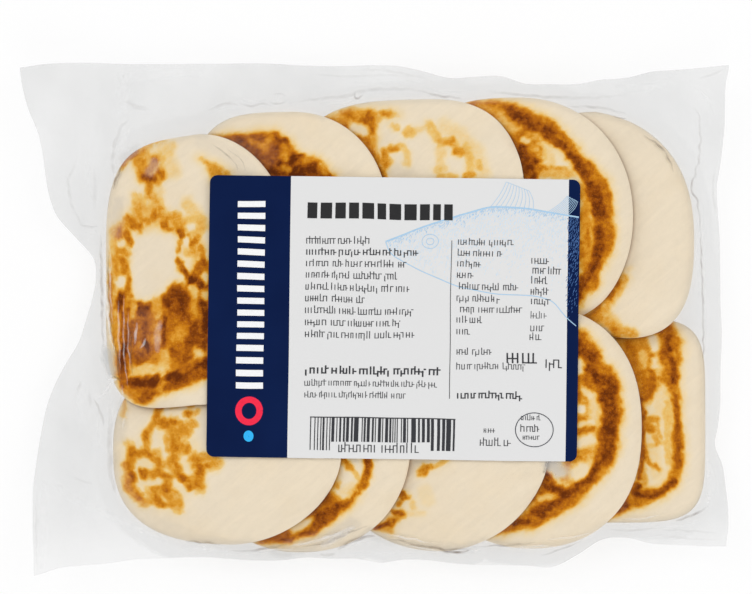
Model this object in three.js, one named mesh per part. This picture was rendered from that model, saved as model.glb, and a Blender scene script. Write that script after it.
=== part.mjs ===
// A clear vacuum bag of ten fried fish cakes, shingled in two rows of five, with a paper label stuck on top.
// The bag lies flat, label up. Millimetres, +Z up; X runs along the bag and Y across it.
// The origin is on the surface that the bag rests on, under the middle of its outline.

import * as THREE from "three";

// Driving dimensions of the bag: its outline, the sealed rim's level and thickness, and how the film lies.
const bagLength = 246.8;
const bagWidth = 178.8;
const rimLevel = 5.6;
const rimThickness = 1;
const filmGap = 0.3;
const filmFillet = 1.5;
const drapeWidth = 5;
const drapeCurve = 2.2;
const undersideFollow = 0.6;

// How far each wavy edge of the film draws in from the rectangle, at equal steps from left to right
// for the top and bottom edges, and from bottom to top for the other two.
const topInsets = [
  2.4, 1.1, 0.5, 0.3, 0.5, 0.5, 0.5, 0.5, 0.5, 0.3, 0.4, 0.9, 1.2, 1.2, 1, 1.4, 3.3, 5.4, 4.9, 4.7,
  7.4, 7.7, 7.7, 6.1, 5.4, 3.3, 2.8, 2.2, 1.4,
];
const bottomInsets = [
  0, 2.5, 3.2, 3.7, 4.9, 5.3, 5.7, 5.8, 5.1, 4.6, 4.6, 5.5, 5.1, 5.2, 3.9, 5, 4.6, 3.5, 2.9, 2.9,
  2.8, 2.4, 6.7, 11.9, 12.5, 10.5, 10.1, 9.8, 9.8,
];
const leftInsets = [
  5.1, 5, 4.5, 4.2, 4, 4.7, 5.7, 7, 8.7, 11.5, 15.4, 19.8, 22.2, 24.3, 25.6, 24.7, 18.5, 12.1, 9.4,
  8.2, 7.4, 5.8, 2.9, 1, 0,
];
const rightInsets = [
  1.1, 0.2, 0.2, 0.9, 1.8, 4.3, 3.3, 2.6, 2.6, 2.6, 2.3, 2.3, 2.6, 2.6, 2.6, 2.6, 3, 3.5, 3.8, 2.8,
  2.1, 1.6, 1.6, 1.4, 0.2,
];

// The rim's waves and the lift of the four free corners.
const rimWave = { height: 1.9, lengthX: 61, lengthY: 74, phaseX: 0.9, phaseY: 2.2 };
const cornerReach = 26;
const cornerLifts = [
  { x: -1, y: -1, lift: 7 },
  { x: 1, y: -1, lift: 3 },
  { x: -1, y: 1, lift: 6 },
  { x: 1, y: 1, lift: 5 },
];

// A cake: thick in the middle, thinner and rounded at its rim.
const cakeThickness = 12.5;
const rimThinning = 0.45;
const rimRadius = 6.5;
const climbLength = 22;

// The vacuum squeezes whatever is stacked above this level.
const squeezeLevel = 14;
const squeeze = 0.65;

// The ten cakes. x and y are the middle; left, right and half are the reach to the sides and across;
// squareLeft and squareRight are how boxy each side is (2 is an ellipse); sinkLeft and sinkRight are how far
// each side slides towards -Y for each millimetre outwards; under names the cakes it lies on.
const cakes = {
  upper1: {
    x: -61.3, y: 17.1, left: 33.2, right: 34, half: 47, squareLeft: 4, squareRight: 2.05, sinkLeft: 0.12,
    under: ["upper2", "upper3", "lower1", "lower2"],
  },
  upper2: {
    x: -30.3, y: 34.5, left: 34.1, right: 34.8, half: 37.6, squareLeft: 3.4, squareRight: 2.15,
    under: ["upper3", "upper4"],
  },
  upper3: {
    x: 17.8, y: 36.2, left: 47, right: 34, half: 40.2, squareLeft: 3.3, squareRight: 2.6,
    under: ["upper4", "upper5"],
  },
  upper4: {
    x: 49.5, y: 35.1, left: 39.7, right: 40, half: 42.1, squareLeft: 2.8, squareRight: 2.1,
    under: ["upper5"],
  },
  upper5: {
    x: 77.4, y: 33.3, left: 34.5, right: 34.6, half: 39, squareLeft: 2.2, squareRight: 2.5, sinkRight: 0.2,
    under: ["lower5"],
  },
  lower1: {
    x: -50.5, y: -46.7, left: 41.4, right: 38.9, half: 32.4, squareLeft: 2.6, squareRight: 1.85,
    under: ["lower2", "lower3"],
  },
  lower2: {
    x: -26.1, y: -42.9, left: 39, right: 38.4, half: 39.4, squareLeft: 2.1, squareRight: 2.1,
    under: ["lower3", "lower4"],
  },
  lower3: {
    x: 22, y: -42.5, left: 39.7, right: 38.4, half: 39.2, squareLeft: 2.1, squareRight: 1.92,
    under: ["lower4", "lower5"],
  },
  lower4: {
    x: 53.3, y: -38.2, left: 39.4, right: 39.2, half: 42.6, squareLeft: 2.05, squareRight: 2.3,
    under: ["lower5", "upper5"],
  },
  lower5: {
    x: 77.7, y: -35.9, left: 38, right: 38.2, half: 36, squareLeft: 2.2, squareRight: 5.2,
    under: [],
  },
};

// The label: a rounded rectangle of paper, turned a little, that presses the film under it nearly flat.
const label = {
  x: 6.3, y: 0, length: 127.6, width: 97, corner: 2.6, turn: -0.75 * THREE.MathUtils.DEG2RAD,
  thickness: 0.3, gap: 0.3, level: 20, follow: 0.4,
  pressMargin: 4.5, pressFade: 9, pressSpan: 7, pressTaps: 4,
};

// Mesh steps. The underside has cells of two by two top cells.
const bagColumns = 76;
const bagRows = 54;
const labelColumns = 28;
const labelRows = 12;
const labelCornerRows = 3;

const smoothstep = THREE.MathUtils.smoothstep;
const lerp = THREE.MathUtils.lerp;

// Where a point lies in a cake's outline: reach is 0 in the middle and 1 on the outline,
// and inside is the distance in from the outline along the ray from the middle.
function placeInCake(cake, x, y) {
  const dx = x - cake.x;
  const sink = (dx < 0 ? cake.sinkLeft : cake.sinkRight) ?? 0;
  const dy = y - cake.y + sink * Math.abs(dx);
  const side = dx < 0 ? cake.left : cake.right;
  const power = dx < 0 ? cake.squareLeft : cake.squareRight;
  const reach = (Math.abs(dx / side) ** power + Math.abs(dy / cake.half) ** power) ** (1 / power);
  const radius = Math.hypot(dx, dy) / Math.max(reach, 1e-6);
  return { reach, inside: radius * (1 - reach) };
}

function thicknessAt(place) {
  return cakeThickness * (1 - rimThinning * Math.min(place.reach, 1) ** 2);
}

// A cake climbs over each cake that it lies on, from climbLength before that cake's outline.
function bedLevel(cake, x, y) {
  let level = 0;
  for (const name of cake.under) {
    const place = placeInCake(cakes[name], x, y);
    level += thicknessAt(place) * smoothstep(place.inside, -climbLength, rimRadius);
  }
  return level;
}

// The higher of two levels, with a fillet where they cross.
function higher(a, b, fillet) {
  const near = Math.max(fillet - Math.abs(a - b), 0);
  return Math.max(a, b) + near ** 2 / (4 * fillet);
}

// The film over one cake: on its top, then curving down past its outline to below the rim of the bag.
function levelOver(cake, x, y, rim) {
  const place = placeInCake(cake, x, y);
  const foot = rim - filmFillet;
  if (place.inside <= -drapeWidth) return foot;
  const rise = Math.min((place.inside + drapeWidth) / (rimRadius + drapeWidth), 1);
  const top = bedLevel(cake, x, y) + thicknessAt(place) + filmGap;
  return lerp(foot, top, 1 - (1 - rise) ** drapeCurve);
}

// The underside of one cake, rounded up towards its outline.
function levelUnder(cake, x, y) {
  const place = placeInCake(cake, x, y);
  if (place.inside < 0) return Infinity;
  const roundness = Math.sqrt(1 - (1 - Math.min(place.inside / rimRadius, 1)) ** 2);
  return bedLevel(cake, x, y) + (thicknessAt(place) / 2) * (1 - roundness);
}

// The sealed rim: level, with waves and lifted corners towards its free edge.
function rimHeight(u, v, x, y) {
  const edge = smoothstep(Math.max(Math.abs(2 * u - 1), Math.abs(2 * v - 1)), 0.78, 1);
  const waves =
    Math.sin((x / rimWave.lengthX) * 2 * Math.PI + rimWave.phaseX) +
    Math.sin((y / rimWave.lengthY) * 2 * Math.PI + rimWave.phaseY);
  let lift = 0;
  for (const corner of cornerLifts) {
    const away = Math.hypot(x - (corner.x * bagLength) / 2, y - (corner.y * bagWidth) / 2);
    lift += corner.lift * Math.exp(-((away / cornerReach) ** 2));
  }
  return rimLevel + edge * (waves * (rimWave.height / 2) + lift);
}

function drapedTop(x, y, rim) {
  let level = rim + rimThickness / 2;
  for (const cake of Object.values(cakes)) {
    level = higher(level, levelOver(cake, x, y, rim), filmFillet);
  }
  return level - (1 - squeeze) * higher(level - squeezeLevel, 0, filmFillet);
}

// A point in the label's own axes.
function onLabel(x, y) {
  const dx = x - label.x;
  const dy = y - label.y;
  return {
    along: dx * Math.cos(label.turn) + dy * Math.sin(label.turn),
    across: -dx * Math.sin(label.turn) + dy * Math.cos(label.turn),
  };
}

// Under the label the film is drawn towards one level, from the mean of the levels around it.
function pressedTop(x, y, rim) {
  const step = (2 * label.pressSpan) / label.pressTaps;
  let sum = 0;
  let total = 0;
  for (let i = -label.pressTaps; i <= label.pressTaps; i++) {
    for (let j = -label.pressTaps; j <= label.pressTaps; j++) {
      const weight = Math.exp(-(((i * step) ** 2 + (j * step) ** 2) / (2 * label.pressSpan ** 2)));
      sum += weight * drapedTop(x + i * step, y + j * step, rim);
      total += weight;
    }
  }
  return lerp(label.level, sum / total, label.follow);
}

function topHeight(x, y, rim) {
  const place = onLabel(x, y);
  const outside = Math.max(
    Math.abs(place.along) - label.length / 2,
    Math.abs(place.across) - label.width / 2,
  );
  const free = smoothstep(outside, label.pressMargin, label.pressMargin + label.pressFade);
  if (free === 1) return drapedTop(x, y, rim);
  return lerp(pressedTop(x, y, rim), drapedTop(x, y, rim), free);
}

function bottomHeight(x, y, rim) {
  const levels = Object.values(cakes).map((cake) => levelUnder(cake, x, y));
  const held = Math.min(undersideFollow * Math.min(...levels), rim);
  return Math.max(0, -higher(-held, rimThickness / 2 - rim, filmFillet));
}

// The outline's four edges as functions of 0 to 1, and the sheet between them (a Coons patch).
function insetCurve(insets) {
  const last = insets.length - 1;
  const curve = new THREE.SplineCurve(insets.map((inset, k) => new THREE.Vector2(k / last, inset)));
  return (along) => Math.max(0, curve.getPoint(along).y);
}

const insetAt = {
  top: insetCurve(topInsets),
  bottom: insetCurve(bottomInsets),
  left: insetCurve(leftInsets),
  right: insetCurve(rightInsets),
};

function cornerPoint(sideX, sideY) {
  const alongX = sideX < 0 ? leftInsets : rightInsets;
  const alongY = sideY < 0 ? bottomInsets : topInsets;
  const insetX = sideY < 0 ? alongX[0] : alongX[alongX.length - 1];
  const insetY = sideX < 0 ? alongY[0] : alongY[alongY.length - 1];
  return new THREE.Vector2(sideX * (bagLength / 2 - insetX), sideY * (bagWidth / 2 - insetY));
}

const corners = [cornerPoint(-1, -1), cornerPoint(1, -1), cornerPoint(-1, 1), cornerPoint(1, 1)];

function sheetPoint(u, v) {
  const [bottomLeft, bottomRight, topLeft, topRight] = corners;
  const top = new THREE.Vector2().lerpVectors(topLeft, topRight, u);
  const bottom = new THREE.Vector2().lerpVectors(bottomLeft, bottomRight, u);
  const left = new THREE.Vector2().lerpVectors(bottomLeft, topLeft, v);
  const right = new THREE.Vector2().lerpVectors(bottomRight, topRight, v);
  const straight = new THREE.Vector2().lerpVectors(bottom, top, v);
  const bendY =
    v * (bagWidth / 2 - insetAt.top(u) - top.y) +
    (1 - v) * (-bagWidth / 2 + insetAt.bottom(u) - bottom.y);
  const bendX =
    u * (bagLength / 2 - insetAt.right(v) - right.x) +
    (1 - u) * (-bagLength / 2 + insetAt.left(v) - left.x);
  return straight.add(new THREE.Vector2(bendX, bendY));
}

function indexedGeometry(points, faces) {
  const geometry = new THREE.BufferGeometry();
  geometry.setAttribute("position", new THREE.Float32BufferAttribute(points.flat(), 3));
  geometry.setIndex(faces.flat());
  geometry.computeVertexNormals();
  return geometry;
}

// The bag: a fine grid over the top, a grid of half as many steps underneath, and a wall round the rim.
function bagGeometry() {
  const points = [];
  const topIndex = [];
  const bottomIndex = [];
  for (let j = 0; j <= bagRows; j++) {
    for (let i = 0; i <= bagColumns; i++) {
      const u = i / bagColumns;
      const v = j / bagRows;
      const { x, y } = sheetPoint(u, v);
      const rim = rimHeight(u, v, x, y);
      topIndex.push(points.push([x, y, topHeight(x, y, rim)]) - 1);
      const onEdge = i === 0 || j === 0 || i === bagColumns || j === bagRows;
      const kept = onEdge || (i % 2 === 0 && j % 2 === 0);
      bottomIndex.push(kept ? points.push([x, y, bottomHeight(x, y, rim)]) - 1 : -1);
    }
  }
  const at = (index, i, j) => index[j * (bagColumns + 1) + i];
  const faces = [];
  for (let j = 0; j < bagRows; j++) {
    for (let i = 0; i < bagColumns; i++) {
      const [nearLeft, nearRight] = [at(topIndex, i, j), at(topIndex, i + 1, j)];
      const [farLeft, farRight] = [at(topIndex, i, j + 1), at(topIndex, i + 1, j + 1)];
      if ((i + j) % 2) faces.push([nearLeft, nearRight, farRight], [nearLeft, farRight, farLeft]);
      else faces.push([nearLeft, nearRight, farLeft], [nearRight, farRight, farLeft]);
    }
  }
  for (let j = 0; j < bagRows; j += 2) {
    for (let i = 0; i < bagColumns; i += 2) {
      faces.push(...undersideCell(bottomIndex, at, i, j));
    }
  }
  const loop = edgeLoop(bagColumns, bagRows);
  loop.forEach(([i, j], k) => {
    const [nextI, nextJ] = loop[(k + 1) % loop.length];
    const [low, high] = [at(bottomIndex, i, j), at(topIndex, i, j)];
    const [lowNext, highNext] = [at(bottomIndex, nextI, nextJ), at(topIndex, nextI, nextJ)];
    faces.push([low, lowNext, highNext], [low, highNext, high]);
  });
  return indexedGeometry(points, faces);
}

// One cell of the underside, as a fan from an inner corner that takes in the extra points on the bag's edge.
function undersideCell(index, at, i, j) {
  const ring = [[0, 0], [1, 0], [2, 0], [2, 1], [2, 2], [1, 2], [0, 2], [0, 1]];
  const found = ring.map(([di, dj]) => at(index, i + di, j + dj));
  const shown = found.filter((point) => point >= 0);
  const start = shown.indexOf(at(index, i === 0 ? 2 : i, j === 0 ? 2 : j));
  const faces = [];
  for (let k = 1; k < shown.length - 1; k++) {
    const [a, b, c] = [start, start + k, start + k + 1].map((n) => shown[n % shown.length]);
    faces.push([a, c, b]);
  }
  return faces;
}

// The grid's outer points, anticlockwise seen from above.
function edgeLoop(columns, rows) {
  const loop = [];
  for (let i = 0; i < columns; i++) loop.push([i, 0]);
  for (let j = 0; j < rows; j++) loop.push([columns, j]);
  for (let i = columns; i > 0; i--) loop.push([i, rows]);
  for (let j = rows; j > 0; j--) loop.push([0, j]);
  return loop;
}

// Rows across the label: close together where the corners are round, then even.
function labelRowPlaces() {
  const { width, corner } = label;
  const places = [];
  for (let k = 0; k <= labelCornerRows; k++) {
    places.push(width / 2 - corner * (1 - Math.sin((Math.PI / 2) * (1 - k / labelCornerRows))));
  }
  const straight = width / 2 - corner;
  for (let k = 1; k < labelRows; k++) places.push(lerp(straight, -straight, k / labelRows));
  for (let k = labelCornerRows; k >= 0; k--) places.push(-places[k]);
  return places.reverse();
}

function labelGeometry() {
  const { length, width, corner, turn } = label;
  const rows = labelRowPlaces();
  const points = [];
  for (const across of rows) {
    const past = Math.max(0, Math.abs(across) - (width / 2 - corner));
    const reach = length / 2 - corner + Math.sqrt(Math.max(0, corner ** 2 - past ** 2));
    for (let i = 0; i <= labelColumns; i++) {
      const along = lerp(-reach, reach, i / labelColumns);
      const x = label.x + along * Math.cos(turn) - across * Math.sin(turn);
      const y = label.y + along * Math.sin(turn) + across * Math.cos(turn);
      const level = pressedTop(x, y, rimLevel) + label.gap;
      points.push([x, y, level + label.thickness], [x, y, level]);
    }
  }
  const at = (i, j, low) => 2 * (j * (labelColumns + 1) + i) + low;
  const faces = [];
  for (let j = 0; j < rows.length - 1; j++) {
    for (let i = 0; i < labelColumns; i++) {
      faces.push([at(i, j, 0), at(i + 1, j, 0), at(i + 1, j + 1, 0)]);
      faces.push([at(i, j, 0), at(i + 1, j + 1, 0), at(i, j + 1, 0)]);
      faces.push([at(i, j, 1), at(i + 1, j + 1, 1), at(i + 1, j, 1)]);
      faces.push([at(i, j, 1), at(i, j + 1, 1), at(i + 1, j + 1, 1)]);
    }
  }
  const loop = edgeLoop(labelColumns, rows.length - 1);
  loop.forEach(([i, j], k) => {
    const [nextI, nextJ] = loop[(k + 1) % loop.length];
    faces.push([at(i, j, 1), at(nextI, nextJ, 1), at(nextI, nextJ, 0)]);
    faces.push([at(i, j, 1), at(nextI, nextJ, 0), at(i, j, 0)]);
  });
  return indexedGeometry(points, faces);
}

function namedMesh(name, geometry, material) {
  const mesh = new THREE.Mesh(geometry, material);
  mesh.name = name;
  return mesh;
}

const cakesInFilm = new THREE.MeshStandardMaterial({ color: 0xe6cfa4, roughness: 0.3, metalness: 0 });
const printedPaper = new THREE.MeshStandardMaterial({ color: 0xe9ebf0, roughness: 0.5, metalness: 0 });

const pack = new THREE.Group();
pack.add(namedMesh("bag", bagGeometry(), cakesInFilm));
pack.add(namedMesh("label", labelGeometry(), printedPaper));

export default pack;
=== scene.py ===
import math

import bpy
import numpy as np
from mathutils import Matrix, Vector


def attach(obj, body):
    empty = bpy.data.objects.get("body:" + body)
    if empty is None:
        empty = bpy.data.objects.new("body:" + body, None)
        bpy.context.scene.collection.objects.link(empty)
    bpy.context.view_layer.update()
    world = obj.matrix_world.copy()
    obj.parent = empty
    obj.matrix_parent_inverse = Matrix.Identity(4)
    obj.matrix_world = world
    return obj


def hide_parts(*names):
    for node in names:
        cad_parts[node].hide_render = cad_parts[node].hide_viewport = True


# A clear vacuum bag of ten fried fish cakes with a paper label stuck on top. Shapes are worked out in
# millimetres, with X along the bag, Y across it and Z up from the table, and go into the meshes in metres.
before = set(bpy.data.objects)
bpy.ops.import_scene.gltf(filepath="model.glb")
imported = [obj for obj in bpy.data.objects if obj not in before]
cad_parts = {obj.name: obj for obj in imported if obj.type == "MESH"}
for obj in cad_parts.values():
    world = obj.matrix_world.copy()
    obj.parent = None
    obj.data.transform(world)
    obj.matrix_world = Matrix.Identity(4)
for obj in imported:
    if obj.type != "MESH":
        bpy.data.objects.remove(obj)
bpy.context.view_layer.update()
print("frame loaded")

bag = {
    "length": 246.8, "width": 178.8,
    "rimLevel": 5.6, "rimThickness": 0.4,
    "filmGap": 0.3, "baseGap": 0.2, "filmFillet": 1.5,
    "drapeWidth": 5.0, "drapeCurve": 2.2,
    "undersideFollow": 0.6,
    # how far each wavy edge draws in from the rectangle, at equal steps
    "topInsets": [2.4, 1.1, 0.5, 0.3, 0.5, 0.5, 0.5, 0.5, 0.5, 0.3, 0.4, 0.9, 1.2, 1.2, 1, 1.4, 3.3,
                  5.4, 4.9, 4.7, 7.4, 7.7, 7.7, 6.1, 5.4, 3.3, 2.8, 2.2, 1.4],
    "bottomInsets": [0, 2.5, 3.2, 3.7, 4.9, 5.3, 5.7, 5.8, 5.1, 4.6, 4.6, 5.5, 5.1, 5.2, 3.9, 5,
                     4.6, 3.5, 2.9, 2.9, 2.8, 2.4, 6.7, 11.9, 12.5, 10.5, 10.1, 9.8, 9.8],
    "leftInsets": [5.1, 5, 4.5, 4.2, 4, 4.7, 5.7, 7, 8.7, 11.5, 15.4, 19.8, 22.2, 24.3, 25.6, 24.7,
                   18.5, 12.1, 9.4, 8.2, 7.4, 5.8, 2.9, 1, 0],
    "rightInsets": [1.1, 0.2, 0.2, 0.9, 1.8, 4.3, 3.3, 2.6, 2.6, 2.6, 2.3, 2.3, 2.6, 2.6, 2.6, 2.6,
                    3, 3.5, 3.8, 2.8, 2.1, 1.6, 1.6, 1.4, 0.2],
    # the rim's waves: height, then length and phase each way, and where they and the lifts start
    "waveHeight": 1.9, "waveX": (61, 0.9), "waveY": (74, 2.2), "waveStart": 0.78,
    # the corners lift over this reach: side along, side across, height
    "cornerReach": 26,
    "cornerLifts": [(-1, -1, 7), (1, -1, 3), (-1, 1, 6), (1, 1, 5)],
}

cakeMake = {"thickness": 12.5, "rimThinning": 0.45, "rimRadius": 6.5, "climb": 22,
            # contactShadeWidth: the width of the painted shade line where another cake lies on this one
            "squeezeLevel": 14, "squeeze": 0.65, "contactShadeWidth": 0.8,
            # the top face's relief: its mean depth, and its ripples as (height, wavelength, seed);
            # skin is the least gap to the film
            "reliefDepth": 0.22, "relief": [(0.16, 15, 41), (0.06, 4.5, 42)], "skin": 0.05}

# x, y: middle; left, right, half: reach to the sides and across; squareLeft, squareRight: how boxy
# each side is (2 is an ellipse); sinkLeft, sinkRight: how far each side slides towards -Y for each millimetre
# outwards; under: the cakes that it lies on
cakes = {
    "upper1": dict(x=-61.3, y=17.1, left=33.2, right=34, half=47, squareLeft=4, squareRight=2.05,
                   sinkLeft=0.12, under=["upper2", "upper3", "lower1", "lower2"]),
    "upper2": dict(x=-30.3, y=34.5, left=34.1, right=34.8, half=37.6, squareLeft=3.4, squareRight=2.15,
                   under=["upper3", "upper4"]),
    "upper3": dict(x=17.8, y=36.2, left=47, right=34, half=40.2, squareLeft=3.3, squareRight=2.6,
                   under=["upper4", "upper5"]),
    "upper4": dict(x=49.5, y=35.1, left=39.7, right=40, half=42.1, squareLeft=2.8, squareRight=2.1,
                   under=["upper5"]),
    "upper5": dict(x=77.4, y=33.3, left=34.5, right=34.6, half=39, squareLeft=2.2, squareRight=2.5,
                   sinkRight=0.2, under=["lower5"]),
    "lower1": dict(x=-50.5, y=-46.7, left=41.4, right=38.9, half=32.4, squareLeft=2.6, squareRight=1.85,
                   under=["lower2", "lower3"]),
    "lower2": dict(x=-26.1, y=-42.9, left=39, right=38.4, half=39.4, squareLeft=2.1, squareRight=2.1,
                   under=["lower3", "lower4"]),
    "lower3": dict(x=22, y=-42.5, left=39.7, right=38.4, half=39.2, squareLeft=2.1, squareRight=1.92,
                   under=["lower4", "lower5"]),
    "lower4": dict(x=53.3, y=-38.2, left=39.4, right=39.2, half=42.6, squareLeft=2.05, squareRight=2.3,
                   under=["lower5", "upper5"]),
    "lower5": dict(x=77.7, y=-35.9, left=38, right=38.2, half=36, squareLeft=2.2, squareRight=5.2,
                   under=[]),
}

label = {
    "x": 6.3, "y": 0.0, "length": 127.6, "width": 97.0, "corner": 2.6, "turn": math.radians(-0.75),
    "gap": 0.3, "thickness": 0.15, "level": 20, "follow": 0.4,
    # how the film is pressed level under and round it, and the grid that this is worked out on
    "pressMargin": 4.5, "pressFade": 9, "pressSpan": 7, "pressX": (-110, 121), "pressY": (-90, 91),
    # the paper's dents: height, wavelength, seed
    "dents": [(0.05, 17, 71), (0.02, 6, 72)],
}


# t*t*(3 - 2t), with t running from 0 at low to 1 at high
def smoothStep(value, low, high):
    t = np.clip((value - low) / (high - low), 0, 1)
    return t * t * (3 - 2 * t)


# the higher of two levels, plus a fillet (fillet - |a - b|)^2 / (4 fillet) where they cross
def higher(a, b, fillet):
    near = np.maximum(fillet - np.abs(a - b), 0)
    return np.maximum(a, b) + near ** 2 / (4 * fillet)


# a Catmull-Rom curve through equally spaced values, at along = 0 to 1
def curveAt(values, along):
    v = np.asarray(values, float)
    k = np.clip(along, 0, 1) * (len(v) - 1)
    i = np.minimum(k.astype(int), len(v) - 2)
    w = k - i
    before, a, b, after = v[np.maximum(i - 1, 0)], v[i], v[i + 1], v[np.minimum(i + 2, len(v) - 1)]
    slopeA, slopeB = (b - before) / 2, (after - a) / 2
    return ((2 * a - 2 * b + slopeA + slopeB) * w ** 3
            + (3 * b - 3 * a - 2 * slopeA - slopeB) * w ** 2 + slopeA * w + a)


# how far the sides of a cake slide towards -Y
def sunk(cake, dx):
    return np.abs(dx) * np.where(dx < 0, cake.get("sinkLeft", 0), cake.get("sinkRight", 0))


# reach = (|dx/side|^n + |dy/half|^n)^(1/n), 1 on the outline; inside = distance in from the outline
def placeInCake(cake, x, y):
    dx = x - cake["x"]
    dy = y - cake["y"] + sunk(cake, dx)
    side = np.where(dx < 0, cake["left"], cake["right"])
    power = np.where(dx < 0, cake["squareLeft"], cake["squareRight"])
    reach = (np.abs(dx / side) ** power + np.abs(dy / cake["half"]) ** power) ** (1 / power)
    inside = np.hypot(dx, dy) / np.maximum(reach, 1e-6) * (1 - reach)
    return reach, inside


# thickness * (1 - thinning * reach^2)
def thicknessAt(reach):
    return cakeMake["thickness"] * (1 - cakeMake["rimThinning"] * np.minimum(reach, 1) ** 2)


# sum over the cakes below of their thickness times a smooth climb that ends inside their outline
def bedLevel(cake, x, y):
    level = np.zeros_like(x)
    for name in cake["under"]:
        reach, inside = placeInCake(cakes[name], x, y)
        level = level + thicknessAt(reach) * smoothStep(inside, -cakeMake["climb"], cakeMake["rimRadius"])
    return level


# what is stacked above squeezeLevel keeps only the share squeeze of its height
def squeezed(level):
    return level - (1 - cakeMake["squeeze"]) * higher(level - cakeMake["squeezeLevel"], 0, bag["filmFillet"])


# the film over one cake: foot + (top - foot) * (1 - (1 - rise)^curve), rise from 0 outside to 1 inside
def levelOver(cake, x, y, rim):
    reach, inside = placeInCake(cake, x, y)
    foot = rim - bag["filmFillet"]
    rise = np.clip((inside + bag["drapeWidth"]) / (cakeMake["rimRadius"] + bag["drapeWidth"]), 0, 1)
    top = bedLevel(cake, x, y) + thicknessAt(reach) + bag["filmGap"]
    return foot + (top - foot) * (1 - (1 - rise) ** bag["drapeCurve"])


# the underside of one cake: bed + thickness / 2 * (1 - sqrt(1 - (1 - inside / rimRadius)^2))
def levelUnder(cake, x, y):
    reach, inside = placeInCake(cake, x, y)
    roundness = np.sqrt(1 - (1 - np.clip(inside / cakeMake["rimRadius"], 0, 1)) ** 2)
    level = bedLevel(cake, x, y) + thicknessAt(reach) / 2 * (1 - roundness)
    return np.where(inside < 0, 1e3, level)


# a smooth step from 0 to 1 that ends on the sheet's free edge
def edgeShare(u, v, start):
    return smoothStep(np.maximum(np.abs(2 * u - 1), np.abs(2 * v - 1)), start, 1)


# the sealed rim: a level plus two sines and Gaussian corner lifts that fade in towards the free edge
def rimHeight(u, v, x, y):
    edge = edgeShare(u, v, bag["waveStart"])
    (lengthX, phaseX), (lengthY, phaseY) = bag["waveX"], bag["waveY"]
    waves = np.sin(x / lengthX * 2 * math.pi + phaseX) + np.sin(y / lengthY * 2 * math.pi + phaseY)
    lift = 0
    for sideX, sideY, height in bag["cornerLifts"]:
        away = np.hypot(x - sideX * bag["length"] / 2, y - sideY * bag["width"] / 2)
        lift = lift + height * np.exp(-(away / bag["cornerReach"]) ** 2)
    return bag["rimLevel"] + edge * (waves * bag["waveHeight"] / 2 + lift)


# the highest of the rim and the film over each cake, squeezed
def drapedTop(x, y, rim):
    level = rim + bag["rimThickness"] / 2
    for cake in cakes.values():
        level = higher(level, levelOver(cake, x, y, rim), bag["filmFillet"])
    return squeezed(level)


# a point of the plane in the label's own axes
def onLabel(x, y):
    dx, dy, c, s = x - label["x"], y - label["y"], math.cos(label["turn"]), math.sin(label["turn"])
    return dx * c + dy * s, -dx * s + dy * c


# a point in the label's own axes, back in the plane
def offLabel(along, across):
    c, s = math.cos(label["turn"]), math.sin(label["turn"])
    return label["x"] + along * c - across * s, label["y"] + along * s + across * c


# distance outside the label's outline; negative on the label
def outsideLabel(x, y):
    along, across = onLabel(x, y)
    return np.maximum(np.abs(along) - label["length"] / 2, np.abs(across) - label["width"] / 2)


# draped levels on a 1 mm grid, blurred by a Gaussian of pressSpan and drawn towards the label's level
def pressedGrid():
    gx, gy = np.arange(*label["pressX"], 1.0), np.arange(*label["pressY"], 1.0)
    x, y = np.meshgrid(gx, gy)
    level = drapedTop(x, y, np.full_like(x, bag["rimLevel"]))
    taps = np.arange(-2 * label["pressSpan"], 2 * label["pressSpan"] + 1)
    weight = np.exp(-taps ** 2 / (2 * label["pressSpan"] ** 2))
    for axis in (0, 1):
        level = sum(w * np.roll(level, int(t), axis) for t, w in zip(taps, weight)) / weight.sum()
    return gx, gy, label["level"] + label["follow"] * (level - label["level"])


pressed = pressedGrid()


# the pressed level between the grid's points, bilinear
def pressedTop(x, y):
    gx, gy, level = pressed
    fx, fy = np.clip(x - gx[0], 0, len(gx) - 1.001), np.clip(y - gy[0], 0, len(gy) - 1.001)
    i, j = fx.astype(int), fy.astype(int)
    fx, fy = fx - i, fy - j
    return ((level[j, i] * (1 - fx) + level[j, i + 1] * fx) * (1 - fy)
            + (level[j + 1, i] * (1 - fx) + level[j + 1, i + 1] * fx) * fy)


# the draped level, blended to the pressed one under and just round the label
def topHeight(x, y, rim):
    margin = label["pressMargin"]
    free = smoothStep(outsideLabel(x, y), margin, margin + label["pressFade"])
    return pressedTop(x, y) * (1 - free) + drapedTop(x, y, rim) * free


# part of the way up to the cakes' undersides, at most up to the rim
def bottomHeight(x, y, rim):
    level = np.min([levelUnder(cake, x, y) for cake in cakes.values()], axis=0)
    held = np.minimum(bag["undersideFollow"] * level, rim)
    return np.maximum(0, -higher(-held, bag["rimThickness"] / 2 - rim, bag["filmFillet"]))


# a Coons patch between the four wavy edges, for u and v from 0 to 1
def sheetPoints(u, v):
    halfL, halfW = bag["length"] / 2, bag["width"] / 2
    inset = {k: np.maximum(0, curveAt(bag[k + "Insets"], s))
             for k, s in (("top", u), ("bottom", u), ("left", v), ("right", v))}
    corner = {(i, j): (i * (halfL - bag["rightInsets" if i > 0 else "leftInsets"][-1 if j > 0 else 0]),
                       j * (halfW - bag["topInsets" if j > 0 else "bottomInsets"][-1 if i > 0 else 0]))
              for i in (-1, 1) for j in (-1, 1)}
    (blX, blY), (brX, brY) = corner[-1, -1], corner[1, -1]
    (tlX, tlY), (trX, trY) = corner[-1, 1], corner[1, 1]
    leftX, rightX = blX + (tlX - blX) * v, brX + (trX - brX) * v
    bottomY, topY = blY + (brY - blY) * u, tlY + (trY - tlY) * u
    x = (leftX + (rightX - leftX) * u
         + u * (halfL - inset["right"] - rightX) + (1 - u) * (inset["left"] - halfL - leftX))
    y = (bottomY + (topY - bottomY) * v
         + v * (halfW - inset["top"] - topY) + (1 - v) * (inset["bottom"] - halfW - bottomY))
    return x, y


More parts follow.
